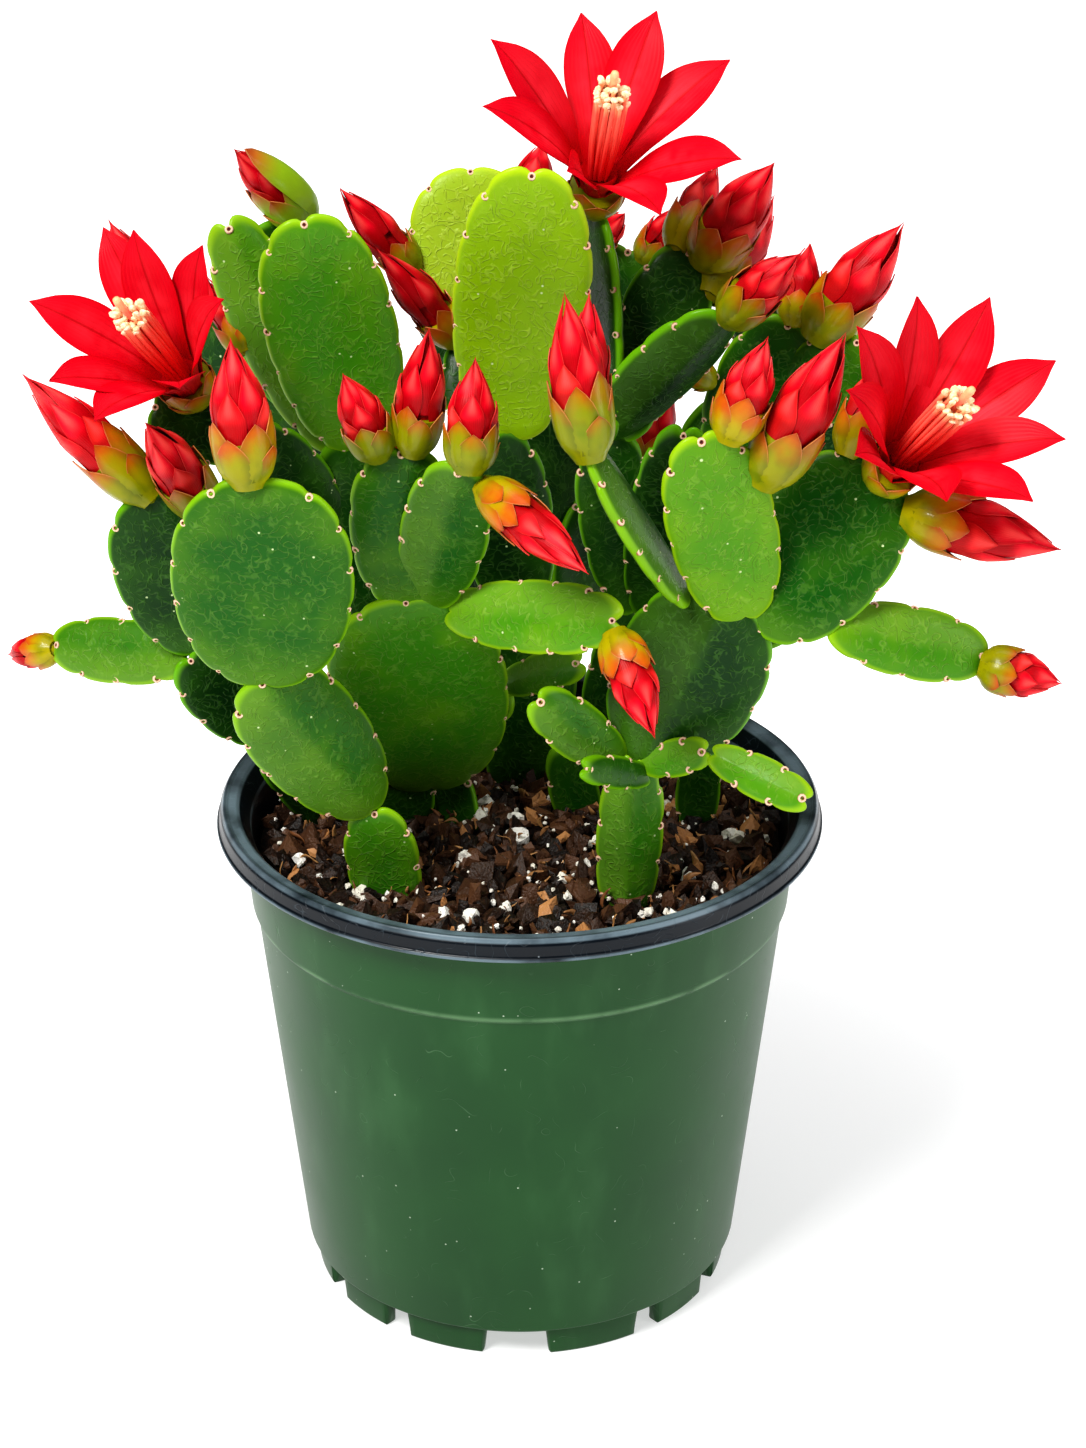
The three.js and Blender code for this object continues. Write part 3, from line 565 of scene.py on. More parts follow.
def ball(levels, radius, place):
    """A small ball with every corner moved to where place() puts it, in millimetres."""
    made = bpy.data.meshes.new("ball")
    whole = bmesh.new()
    bmesh.ops.create_icosphere(whole, subdivisions=levels, radius=radius)
    for corner in whole.verts:
        corner.co = place(corner.co) * MM
    whole.to_mesh(made)
    whole.free()
    return made


def lump(seed, stretch, roughness, levels=1):
    """A lumpy stone-like shape about one millimetre across."""

    def place(at):
        push = 1 + roughness * noise.noise(at * 2.6 + Vector((seed * 7.3, 1, 2)))
        return Vector(a * b for a, b in zip(at, stretch)) * push

    return ball(levels, 0.5, place)


def chip(seed):
    """A torn bark chip about one millimetre long: a bent, faceted splinter."""
    draw = random.Random(seed)
    made = lump(seed, (1, draw.uniform(0.5, 0.8), draw.uniform(0.26, 0.44)), 0.95)
    for corner in made.vertices:
        corner.co.z += 0.24 * corner.co.x**2 / MM * draw.choice((-1, 1))
    return made


def husk(seed):
    """A curled strip of husk or fibre about one millimetre long."""
    draw = random.Random(seed)
    width, curl, thick = draw.uniform(0.05, 0.16), draw.uniform(0.15, 0.5), 0.02
    rings = []
    for i in range(HUSK_STEPS + 1):
        t = i / HUSK_STEPS
        at = Vector((t - 0.5, curl * sin(pi * t) * 0.5, 0.12 * sin(5 * t + seed)))
        half = width * sin(pi * (0.08 + 0.84 * t))
        corners = ((-half, -thick), (half, -thick), (half, thick), (-half, thick))
        rings.append([at + Vector((0, *corner)) for corner in corners])
    strip = Form()
    strip.rings([rings[0][:1], *rings, rings[-1][:1]])
    return strip.mesh()


# Bark is dark and matt with a torn grain; perlite is a chalky foam; husks are tan and papery.
bark = Finish("bark", Specular_IOR_Level=0.4)
bark_tone = bark.value("tone")
bark_grain = bark.cloud(0.5, 4, stretch=(1, 0.35, 1))
bark_body = bark.over(
    bark.mix(bark_tone.between(0.1, 0.95), (27, 18, 12), (92, 62, 42)),
    (bark_tone.between(0.92, 0.94), (186, 132, 84)),
    (bark_grain.between(0.5, 0.8) * 0.35, (112, 74, 50)),
)
bark.wear(Base_Color=bark_body, Roughness=bark_grain * 0.4 + 0.28)
bark.relief(bark_grain, 0.35)

perlite = Finish("perlite", Roughness=0.75)
pores = perlite.cloud(0.5, 3)
perlite_body = perlite.mix(perlite.value("tone"), (232, 226, 210), (254, 252, 246))
perlite.wear(Base_Color=perlite.mix(pores.between(0.78, 0.55), (150, 132, 104), perlite_body))
perlite.relief(pores, 0.3)

husks = Finish("husks", Roughness=0.55)
husk_body = husks.mix(husks.value("tone"), (118, 70, 38), (206, 156, 98))
husks.wear(Base_Color=husks.mix(husks.cloud(0.6, 3) * 0.6, husk_body, (96, 58, 32)))

chips = [chip(i) for i in range(9)]
grains = [lump(40 + i, (1, 0.85, 0.75), 0.7, 2) for i in range(5)]
strips = [husk(i) for i in range(7)]
LAYERS = (
    # name, shapes, finish, how many to a square metre, smallest and largest in mm, height in mm, seed
    ("bark_chips", chips, bark, 100000, 4.6, 9.4, 0.8, 4),
    ("bark_crumbs", chips, bark, 60000, 2.0, 4.4, 1.8, 11),
    ("perlite_grains", grains, perlite, 8000, 1.8, 4.6, 2.0, 2),
    ("perlite_crumbs", grains, perlite, 24000, 0.7, 1.6, 2.6, 8),
    ("husk_strips", strips, husks, 26000, 2.5, 6.0, 2.4, 6),
)
cover = Form()
cover.rings(mound(BED_RADIUS * COVER, COVER_RINGS, COVER_SIDES))
for name, chosen, coat, crowd, small, large, height, seed in LAYERS:
    given = {"Crowd": float(crowd), "Seed": seed, "Small": small, "Large": large, "Lift": height * MM}
    piece(name, grown(cover.mesh(), scatter.tree, coat, chosen, **given), "potting_mix")

# ---------------------------------------------------------------- the stems
# Living stems of flat jointed pads, waxy and fleshy, each stem one chain from the mix to its tips.
# Each pad has a crenate margin, paler than its face and partly brightened by a painted highlight, and
# thins from its middle to the edge.

LIGHT_HEIGHT = 26
LIGHT = Vector((0, -cos(radians(LIGHT_HEIGHT)), sin(radians(LIGHT_HEIGHT))))
JOINT_INSET = 0.87
BUD_INSET = 0.06
PAD_HALF = 0.9
PAD_FATTER = 0.045
PAD_TIP = 0.92
PAD_FLANK = 0.85
PAD_SWELL = 0.06
AREOLE_PITCH = 10.5
NOTCH_DEPTH = 0.75
NOTCH_SHARPNESS = 2.6
FACE_BULGE = 0.44
FACE_FALL = 0.9

# A pad's row is: its name, where it is rooted or else the pad it grows from, the angle round that pad,
# its tip, its width, its turn about its own length, and how far its halves fold back.
STEMS = {
  "stem_front_left": [
    ("a1", (-27, -26, 97), 0, (-30, -32, 128), 16, 10, 0),
    ("a2", "a1", 0, (-52, -46, 164), 24, 0, 18),
    ("a3", "a2", 0, (-49, -56, 211), 36, 0, 0),
  ],
  "stem_left": [
    ("b1", (-36, 12, 97), 0, (-55, -8, 134), 14, 0, 0),
    ("b2", "b1", 0, (-69, -20, 157), 16, 0, 0),
    ("b3", "b2", 5, (-99, -6, 153), 14, 0, 8),
    ("b4", "b2", 20, (-74, -26, 196), 25, 0, 0),
  ],
  "stem_center": [
    ("c1", (-28, 6, 97), 0, (-25, -4, 141), 18, 0, 0),
    ("c2", "c1", 100, (-23, -26, 173), 38, 0, 0),
    ("c3", "c2", 0, (-23, -32, 208), 22, 0, 0),
    ("c4", "c2", 10, (-11, -44, 209), 18, 0, 6),
    ("c5", "c2", 20, (21, -52, 179), 15, 0, 8),
  ],
  "stem_low": [
    ("d1", (-11, -1, 97), 0, (-17, 7, 124), 10, 20, 0),
    ("d2", "d1", 0, (-3, 2, 140), 13, 0, 0),
    ("d3", "d2", -5, (14, -12, 152), 9, 0, 10),
  ],
  "stem_right": [
    ("e1", (22, -32, 97), 0, (24, -36, 142), 14, 0, 22),
    ("e2", "e1", -15, (3, -42, 158), 12, 0, 8),
    ("e3", "e1", 35, (12, -52, 147), 7, 0, 0),
    ("e4", "e1", 5, (39, -44, 147), 8, 0, 8),
    ("e5", "e4", 0, (59, -54, 140), 9, 0, 15),
    ("e6", "e1", 10, (42, -36, 177), 31, 0, 16),
    ("e7", "e6", -25, (13, -48, 216), 22, -72, 8),
    ("e8", "e6", 20, (35, -48, 217), 22, 0, 0),
    ("e9", "e6", 30, (73, -29, 203), 30, 0, 0),
    ("e10", "e9", 125, (96, -30, 161), 15, 0, 6),
  ],
  "stem_short": [("f1", (15, 10, 97), 0, (9, 4, 125), 11, 0, 0)],
  "stem_young": [("g1", (38, 5, 97), 0, (40, 0, 136), 10, 0, 0)],
  "stem_tall_left": [
    ("h1", (-17, 20, 97), 0, (-26, 10, 147), 18, 0, 0),
    ("h2", "h1", -5, (-37, 4, 196), 19, 0, 0),
    ("h3", "h2", 20, (-43, -6, 247), 27, 0, 0),
    ("h4", "h2", -5, (-60, 8, 242), 18, 0, 20),
    ("h5", "h2", -90, (-57, -8, 202), 21, 0, 0),
    ("h6", "h5", 0, (-75, -7, 207), 18, 0, 0),
  ],
  "stem_tall_center": [
    ("i1", (0, 24, 97), 0, (0, 14, 154), 18, 0, 0),
    ("i2", "i1", 0, (-5, 2, 199), 20, 0, 0),
    ("i3", "i2", 15, (3, -12, 259), 28, 0, 0),
    ("i4", "i2", -10, (-9, 14, 215), 17, 0, 0),
    ("i5", "i4", 0, (-10, 24, 248), 27, 0, 0),
  ],
  "stem_tall_right": [
    ("j1", (18, 24, 97), 0, (26, 14, 154), 18, 0, 0),
    ("j2", "j1", 0, (18, 6, 197), 18, 0, 0),
    ("j3", "j1", 20, (43, 6, 191), 18, 0, 0),
    ("j4", "j2", -10, (42, -8, 227), 18, -45, 14),
    ("j5", "j2", 5, (36, 18, 233), 19, 0, 0),
    ("j6", "j2", 0, (16, 12, 243), 20, 70, 0),
    ("j7", "j3", 0, (56, 4, 222), 19, 0, 0),
    ("j8", "j7", 105, (70, -2, 220), 17, 0, 0),
    ("j9", "j1", 15, (34, -12, 205), 17, 0, 0),
  ],
  "stem_back_left": [
    ("q1", (-26, 34, 97), 0, (-36, 42, 146), 18, 0, 0),
    ("q2", "q1", 0, (-46, 40, 190), 30, 22, 0),
    ("q3", "q2", 10, (-51, 34, 234), 30, -15, 0),
    ("q4", "q2", -50, (-76, 52, 206), 32, 30, 0),
    ("q5", "q1", -60, (-70, 56, 158), 28, -20, 0),
  ],
  "stem_back_center": [
    ("r1", (2, 40, 97), 0, (4, 52, 148), 20, 0, 0),
    ("r2", "r1", 0, (4, 56, 192), 32, -14, 0),
    ("r3", "r2", -30, (-14, 50, 232), 34, 28, 0),
    ("r4", "r2", 35, (24, 56, 220), 30, 0, 0),
    ("r5", "r1", -60, (-26, 62, 162), 28, 40, 0),
    ("r6", "r1", 60, (26, 63, 166), 26, -40, 0),
  ],
  "stem_back_right": [
    ("s1", (28, 32, 97), 0, (40, 42, 148), 18, 0, 0),
    ("s2", "s1", 0, (52, 44, 192), 32, -24, 0),
    ("s3", "s2", 15, (64, 40, 216), 30, 18, 0),
    ("s4", "s2", 60, (82, 54, 188), 30, -20, 0),
    ("s5", "s1", 60, (72, 60, 156), 28, 20, 0),
  ],
}

# A bud's row is: its name, the pad it grows from, the angle round that pad, its tip, its width, and
# the share of its length that the green cup takes.
BUDS = [
  ("bud_01", "q3", 20, (-59, 24, 252), 10.5, 0.55),
  ("bud_02", "i5", -100, (-37, 14, 247), 8.7, 0.35),
  ("bud_03", "i4", -20, (-29, 2, 238), 9, 0.38),
  ("bud_04", "h4", -90, (-65, 17, 227), 7, 0.4),
  ("bud_05", "b4", 0, (-99, -20, 219), 11.2, 0.42),
  ("bud_06", "b4", 50, (-72, -44, 218), 11, 0.48),
  ("bud_07", "a3", -5, (-54, -52, 238), 12.2, 0.42),
  ("bud_08", "c3", -20, (-34, -36, 225), 9.8, 0.45),
  ("bud_09", "c3", 10, (-17, -32, 233), 10.2, 0.42),
  ("bud_10", "c4", 10, (-8, -38, 229), 10.5, 0.42),
  ("bud_11", "e7", -15, (9, -46, 245), 11.8, 0.45),
  ("bud_12", "e7", 32, (14, -31, 240), 9, 0.42),
  ("bud_13", "c4", 35, (14, -66, 195), 9.8, 0.42),
  ("bud_14", "c5", 15, (27, -66, 160), 9.8, 0.38),
  ("bud_15", "i5", 60, (5, 26, 253), 8.8, 0.3),
  ("bud_16", "r4", -30, (23, 50, 230), 7.4, 0.45),
  ("bud_17", "r4", 10, (35, 52, 231), 7.4, 0.45),
  ("bud_18", "j5", -15, (42, 36, 245), 9.1, 0.45),
  ("bud_19", "j5", 18, (52, 8, 254), 13, 0.45),
  ("bud_20", "j5", 50, (54, 34, 239), 11.3, 0.4),
  ("bud_21", "j4", 5, (56, -14, 242), 10.4, 0.48),
  ("bud_22", "j7", 5, (60, 12, 236), 8.6, 0.4),
  ("bud_23", "j8", -60, (78, 0, 244), 13, 0.42),
  ("bud_24", "e8", 25, (48, -46, 236), 10.4, 0.45),
  ("bud_25", "e8", 70, (63, -46, 237), 12.8, 0.42),
  ("bud_26", "j7", -95, (26, 5, 216), 6.4, 0.3),
  ("bud_27", "e9", -25, (74, -20, 223), 9.1, 0.45),
  ("bud_28", "e9", 35, (108, -40, 189), 13, 0.4),
  ("bud_29", "e10", 10, (111, -34, 157), 10, 0.42),
  ("bud_30", "b3", -5, (-110, 4, 146), 7.2, 0.4),
  ("bud_31", "q4", -10, (-90, 58, 226), 10, 0.42),
  ("bud_32", "q5", 0, (-86, 62, 170), 8, 0.42),
  ("bud_33", "r5", 0, (-33, 66, 181), 9, 0.42),
  ("bud_34", "r6", 10, (34, 67, 187), 9, 0.42),
  ("bud_35", "s4", 10, (102, 66, 192), 9, 0.42),
]

# A flower's row is: its name, its pad, the middle of its throat, the way that its axis points, how far
# down its cup reaches, the length of its petals, and each petal's angle round the axis, share of that
# length, its opening from the axis and its turn about its own length.
FLOWERS = [
  ("flower_top", "j6", (16.7, 5, 255.1), (0.1, -0.49, 0.866), 14.5, 32,
    ((-93, 1, 53, -9), (-57, 1.05, 50, -6), (-2, 0.95, 59, 0), (31, 1, 54, 0), (63, 1.05, 68, -3),
      (124, 1, 61, 12), (170, 1, 62, 0), (-140, 0.55, 55, -35))),
  ("flower_left", "h6", (-69.5, -14, 218.2), (-0.36, -0.54, 0.76), 12.5, 30,
    ((-103, 1.05, 39, -9), (-46, 1.05, 58, 0), (-22, 0.95, 38, 10), (22, 0.9, 46, 12), (72, 1, 45, 23),
      (121, 1, 50, -27), (168, 1, 51, -16), (-161, 1, 41, -19))),
  ("flower_right", "e9", (76.9, -38, 209.5), (0.4, -0.56, 0.73), 13, 32,
    ((-37, 1, 49, -17), (7, 0.95, 48, 0), (45, 1.05, 52, 0), (83, 1.05, 56, 0), (122, 0.95, 51, 0),
      (173, 1, 47, 14), (-140, 1, 48, 31), (-98, 1, 56, 0), (-72, 1, 50, -15))),
]

# Pads that aren't the common mid green: 0 is dark blue-green, 1 is lime. The tones are partly each pad's
# own colour and partly painted shade and light: pads deep in the plant are darker, some shaded ones lighter.
PAD_TONES_AND_SHADING = {
    "i3": 1.0, "i5": 1.25, "e8": 0.7, "b3": 0.4, "e10": 0.52, "c5": 0.62, "e4": 0.5, "e5": 0.66, "h4": 0.5,
    "c2": 0.5, "e9": 0.28, "j5": 0.12, "j4": 0.1, "j9": 0.12, "c4": 0.3, "c3": 0.34, "h3": 0.54, "a3": 0.34,
    "a2": 0.4, "e6": 0.06, "e7": 0.3, "b4": 0.08, "b2": 0.1, "i4": 0.1, "h5": 0.08, "d2": 0.34, "d3": 0.4,
    "a1": 0.5, "e1": 0.42, "e2": 0.4, "e3": 0.2, "j8": 0.3, "j7": 0.25, "f1": 0.2, "g1": 0.15, "d1": 0.2,
}
# The common tone is dark partly as painted shade for the pads inside the plant.
COMMON_TONE_AND_SHADING = 0.12


class Growth:
    """The frame that a pad or bud grows in: along its length, across it, and out of its lit face."""

    def __init__(self, base, tip, turn=0.0):
        self.base = base
        self.along = tip - base
        self.length = self.along.length
        self.along.normalize()
        facing = (LIGHT - self.along * LIGHT.dot(self.along)).normalized()
        self.facing = Quaternion(self.along, -radians(turn)) @ facing
        self.across = self.along.cross(self.facing)


def signed_power(value, power):
    return copysign(abs(value) ** power, value)


def pad_point(pad, angle, reach, lift):
    """A point of a pad: the angle from its tip, how far out to its edge, and how high off its middle."""
    step = pad.length / 2 * (1 + reach * signed_power(cos(angle), PAD_TIP))
    swell = 1 + PAD_SWELL * cos(angle)
    side = reach * pad.width / 2 * signed_power(sin(angle), PAD_FLANK) * swell
    folded = lift - abs(side) * tan(radians(pad.fold))
    return pad.base + pad.along * step + pad.across * side + pad.facing * folded


pads = {}
for rows in STEMS.values():
    for name, root, at, tip, width, turn, fold in rows:
        rooted = isinstance(root, tuple)
        base = Vector(root) if rooted else pad_point(pads[root], radians(at), JOINT_INSET, 0)
        pads[name] = Growth(base, Vector(tip), turn)
        pads[name].width = width
        pads[name].fold = fold
        pads[name].rooted = rooted


def margin(pad):
    """The angles round a pad's edge and how far along the areole spacing each one lies."""
    count = 2 * max(28, round(pad.width * 1.5 + 18))
    angles = [2 * pi * i / count for i in range(count)]
    places = [pad_point(pad, angle, 1, 0) for angle in angles]
    lengths = [0.0]
    for a, b in zip(places, places[1:] + places[:1]):
        lengths.append(lengths[-1] + (a - b).length)
    areoles = 2 * max(3, round(lengths[-1] / 2 / AREOLE_PITCH))
    return angles, [areoles * length / lengths[-1] for length in lengths[:-1]], areoles


FACE_STEPS = (10, 20, 32, 44, 55, 65, 74, 82)  # degrees from the middle of a face to its edge


def grow_pad(form, pad, tone, dish):
    """One pad: two crowned faces that meet in a rounded, notched margin."""
    angles, phases, _ = margin(pad)
    half = PAD_HALF + PAD_FATTER * pad.width
    notch = NOTCH_DEPTH / (pad.width / 2)
    slopes = [radians(step) for step in FACE_STEPS]
    face = [(0, half)] + [(sin(t) ** FACE_BULGE, half * cos(t) ** FACE_FALL) for t in slopes]
    rings, edges, sides, rises = [], [], [], []
    for reach, lift in face + [(1.0, 0.0)] + [(reach, -lift) for reach, lift in reversed(face)]:
        ring = []
        for angle, phase in zip(angles, phases) if reach else [(0, 0)]:
            dip = 1 - notch * reach**4 * (1 - abs(sin(pi * phase))) ** NOTCH_SHARPNESS
            ring.append(pad_point(pad, angle, reach * dip, lift + dish * (1 - reach**2)))
            edges.append((1 - reach) * pad.width / 2)
            sides.append(reach * pad.width / 2 * sin(angle))
            rises.append(0.5 + 0.5 * reach * cos(angle))
        rings.append(ring)
    form.rings(rings, edge=edges, side=sides, rise=rises, tone=tone, fold=float(pad.fold > 0))


# The skin is waxy: fine wandering ridges and pale pores on the faces, and a thin bright margin that is
# partly the pad's own paler edge and partly a painted highlight.
pad_skin = Finish("pad_skin", Coat_Weight=0.07, Coat_Roughness=0.18, Specular_IOR_Level=0.14)
pad_tone = pad_skin.value("tone")
edge = pad_skin.value("edge")
strokes = pad_skin.threads(3.2, 6, 0.13, 0.36)
inland = edge.between(0.4, 2.4)
ridges = strokes.maths("MAXIMUM", pad_skin.net(2.6, 0.09) * 0.6) * inland
pores = pad_skin.specks(2.6, 0.2, 0.12)
scars = pad_skin.specks(9, 0.1, 0.05)
drift = pad_skin.cloud(12, 3)
# Painted light: on folded pads, one half is painted lighter as if it faced the light.
folded_half_light = pad_skin.value("side").between(1.5, -1.5) * pad_skin.value("fold")
glow = pad_skin.mix(pad_tone, (44, 112, 18), (160, 200, 20))
lime_face = pad_skin.mix(pad_tone.between(1.0, 1.3), (126, 166, 6), (150, 180, 44))
face = pad_skin.over(
    pad_skin.mix(pad_tone.between(0, 0.34), (8, 36, 10), (26, 86, 16)),
    (pad_tone.between(0.3, 0.62), (66, 132, 22)),
    (pad_tone.between(0.6, 1), lime_face),
    (drift.between(0.42, 0.8) * 0.34, glow),
    (edge.between(7, 1.5) * 0.12, glow),
    (pad_skin.value("rise").between(0.3, 0) * 0.4, glow),
    (folded_half_light * 0.24, pad_skin.mix(pad_tone, (84, 128, 44), (170, 200, 84))),
    (ridges * 0.2, pad_skin.mix(pad_tone, (96, 164, 66), (206, 226, 110))),
    # A bright line along the margin: partly its own paler colour, partly a painted highlight.
    (edge.between(0.9, 0.1) * 0.8, pad_skin.mix(pad_tone, (98, 172, 8), (176, 206, 30))),
    (pores.maths("MAXIMUM", scars) * inland, (196, 216, 160)),
)
pad_skin.wear(Base_Color=face, Roughness=drift * 0.18 + 0.3)
pad_skin.relief(ridges + pad_skin.cloud(6, 2) - pores * 0.3, 0.14)

draw = random.Random(3)
for stem, rows in STEMS.items():
    form = Form("edge", "side", "rise", "tone", "fold")
    for name, *_ in rows:
        tone = PAD_TONES_AND_SHADING.get(name, COMMON_TONE_AND_SHADING) + draw.uniform(-0.05, 0.05)
        grow_pad(form, pads[name], tone, draw.uniform(-0.5, 0.5))
    piece(stem + "_pads", form.mesh(pad_skin), "pad_skin", stem)

# ---------------------------------------------------------------- the areoles
# The growing points along every pad's margin: a ring of tan wool round a dark red heart, with a few
# short bristles.

WOOL_SIDES = 9
WOOL = (  # radius, height and tone
    (0, -0.35, 0.3), (0.98, -0.3, 0.5), (1.0, 0.1, 0.75), (0.8, 0.38, 1.0), (0.5, 0.36, 0.9),
    (0.32, 0.14, 0.12), (0, 0.06, 0),
)
BRISTLES = ((0.4, 0.5), (2.6, 0.4), (4.4, 0.6))  # turn and lean
HEEL = 22  # degrees either side of a pad's base that bear no areoles

areole_form = Form("tone")
wool_tones = [tone for radius, _, tone in WOOL for _ in range(WOOL_SIDES if radius else 1)]
areole_form.rings([circle(radius, height, WOOL_SIDES) for radius, height, _ in WOOL], tone=wool_tones)
for about, lean in BRISTLES:
    root = Vector((0.3 * cos(about), 0.3 * sin(about), 0.1))
    end = root + Vector((lean * cos(about), lean * sin(about), 0.9))
    foot = [root + Vector((0.07 * cos(t), 0.07 * sin(t), 0)) for t in (0, 2.1, 4.2)]
    areole_form.rings([[root], foot, [end]], tone=0.95)
areole = areole_form.mesh()

wool = Finish("wool", Roughness=0.85)
wool_tone = wool.value("tone")
wool_body = wool.over(
    wool.mix(wool_tone.between(0.1, 0.5), (70, 10, 8), (150, 84, 60)),
    (wool_tone.between(0.6, 1), (236, 200, 172)),
    (wool.cloud(0.5, 3).between(0.5, 0.8) * 0.4, (178, 118, 88)),
)
wool.wear(Base_Color=wool_body)

# Sets one shape on each point of its base, pointing the way that the point's own vector gives.
studs, spots = tree_of("studs", Shapes="Collection")
aim = studs.node("GeometryNodeInputNamedAttribute", {"Name": "aim"}, data_type="FLOAT_VECTOR")
set_in = studs.node(
    "GeometryNodeInstanceOnPoints",
    {
        "Points": studs.node("GeometryNodeMeshToPoints", {"Mesh": spots}),
        "Instance": studs.node("GeometryNodeCollectionInfo", {"Collection": spots.other("Shapes")}),
        "Rotation": studs.node("FunctionNodeAlignRotationToVector", {"Vector": aim}, axis="Z"),
        "Scale": studs.node("GeometryNodeInputNamedAttribute", {"Name": "growth"}),
    },
)
deliver(studs, spots, set_in)


def studded(shape, coat, rows):
    """Shapes set on points, each row a place, the way that the shape points there, and its size."""
    places, aims, sizes = zip(*rows)
    base = bpy.data.meshes.new("spots")
    base.from_pydata([place * MM for place in places], [], [])
    flat = [number for aim in aims for number in aim]
    base.attributes.new("aim", "FLOAT_VECTOR", "POINT").data.foreach_set("vector", flat)
    base.attributes.new("growth", "FLOAT", "POINT").data.foreach_set("value", sizes)
    return grown(base, studs.tree, coat, [shape])


draw = random.Random(12)
for stem, rows in STEMS.items():
    places = []
    for name, *_ in rows:
        pad = pads[name]
        angles, phases, count = margin(pad)
        for k in range(count):
            angle = angles[min(range(len(phases)), key=lambda n: abs(phases[n] - k))]
            at = pad_point(pad, angle, 1 - NOTCH_DEPTH / (pad.width / 2), 0)
            buried = pad.rooted and at.z < SOIL_EDGE + 2
            if buried or abs(degrees(angle) - 180) < HEEL:
                continue
            out = (at - pad_point(pad, angle, 0.6, 0)).normalized()
            aim = (out * 0.55 + pad.facing).normalized()
            places.append((at - out * 0.2 + pad.facing * 0.6, aim, draw.uniform(0.75, 1.0)))
    piece(stem + "_areoles", studded(areole, wool, places), "pad_skin")

# ---------------------------------------------------------------- the buds
# Closed buds at the tips of the pads: a fleshy cup of green scales that blush orange at their tips,
# and in it a tight bundle of satin red tepals, each whorl lapping the next.

# Each outline's rows are a share of the length and the share of the full width there.
BUD_OUTLINE = (
    (0, 0.46), (0.07, 0.76), (0.17, 0.94), (0.3, 1), (0.42, 0.99), (0.55, 0.9), (0.7, 0.69), (0.85, 0.38),
    (1, 0),
)
SCALE_OUTLINE = ((0, 0.72), (0.25, 0.94), (0.5, 1), (0.7, 0.84), (0.85, 0.52), (0.95, 0.2), (1, 0.01))
TEPAL_OUTLINE = (
    (0, 0.6), (0.25, 0.92), (0.4, 1), (0.55, 0.92), (0.7, 0.68), (0.84, 0.37), (0.94, 0.13), (1, 0.01),
)
GOLDEN = radians(137.5)
SCALE_ROWS = 9
SCALE_COLUMNS = 6
WIDEST_WRAP = 1.35
CORE_SIDES = 20
CORE_RINGS = 10


def along_outline(outline, share):
    """The width that an outline gives at a share of its length, eased between its rows."""
    for i, (low, high) in enumerate(zip(outline, outline[1:])):
        if share <= high[0]:
            before, after = outline[max(0, i - 1)], outline[min(len(outline) - 1, i + 2)]
            span = high[0] - low[0]
            t = (share - low[0]) / span
            slope_in = (high[1] - before[1]) / max(high[0] - before[0], 1e-6) * span
            slope_out = (after[1] - low[1]) / max(after[0] - low[0], 1e-6) * span
            return (
                (2 * t**3 - 3 * t**2 + 1) * low[1]
                + (t**3 - 2 * t**2 + t) * slope_in
                + (3 * t**2 - 2 * t**3) * high[1]
                + (t**3 - t**2) * slope_out
            )
    return outline[-1][1]


def bud_place(bud, share, turn, proud):
    """A point on a bud: the share of its length, the turn about its axis, and how proud it stands."""
    radius = max(bud.width / 2 * along_outline(BUD_OUTLINE, min(max(0, share), 1)) + proud, 0.02)
    out = bud.facing * cos(turn) + bud.across * sin(turn)
    return bud.base + bud.along * (share * bud.length) + out * radius


def bud_scale(form, bud, turn, low, high, half_width, stand, outline, thick=0.3, **values):
    """A pointed scale or tepal that wraps the bud from low to high. Its half width is in
    millimetres, and stand() says how proud it stands at a share of the bud's length."""

    def place(sheet, v, u):
        share = low + (high - low) * v
        round_by = max(bud.width / 2 * along_outline(BUD_OUTLINE, min(share, 1)), 0.3)
        half = min(half_width * along_outline(outline, v) / round_by, WIDEST_WRAP)
        keel = 0.3 * (1 - abs(u)) ** 1.4 * sin(pi * min(1, v * 0.9 + 0.15))
        proud = stand(share, v) + keel - sheet * thick * (1 - 0.4 * abs(u))
        return bud_place(bud, share, turn + u * half, proud)

    form.leaf(SCALE_ROWS, SCALE_COLUMNS, place, **values)


def bud_core(form, bud, low, high, inset, **values):
    """The closed body behind a bud's scales."""
    rings = [[bud.base + bud.along * (low - 0.05) * bud.length]]
    for i in range(CORE_RINGS + 1):
        turns = [2 * pi * k / CORE_SIDES for k in range(CORE_SIDES)]
        rings.append([bud_place(bud, low + (high - low) * i / CORE_RINGS, turn, -inset) for turn in turns])
    rings.append([bud.base + bud.along * (high + 0.01) * bud.length])
    form.rings(rings, **values)


class Bud(Growth):
    """A bud: the pad that it grows from, its width, and the share of its length that is cup."""

    def __init__(self, name, root, at, tip, width, green):
        super().__init__(pad_point(pads[root], radians(at), JOINT_INSET + BUD_INSET, 0), Vector(tip))
        self.name, self.root, self.width, self.green = name, root, width, green


buds = [Bud(*row) for row in BUDS]

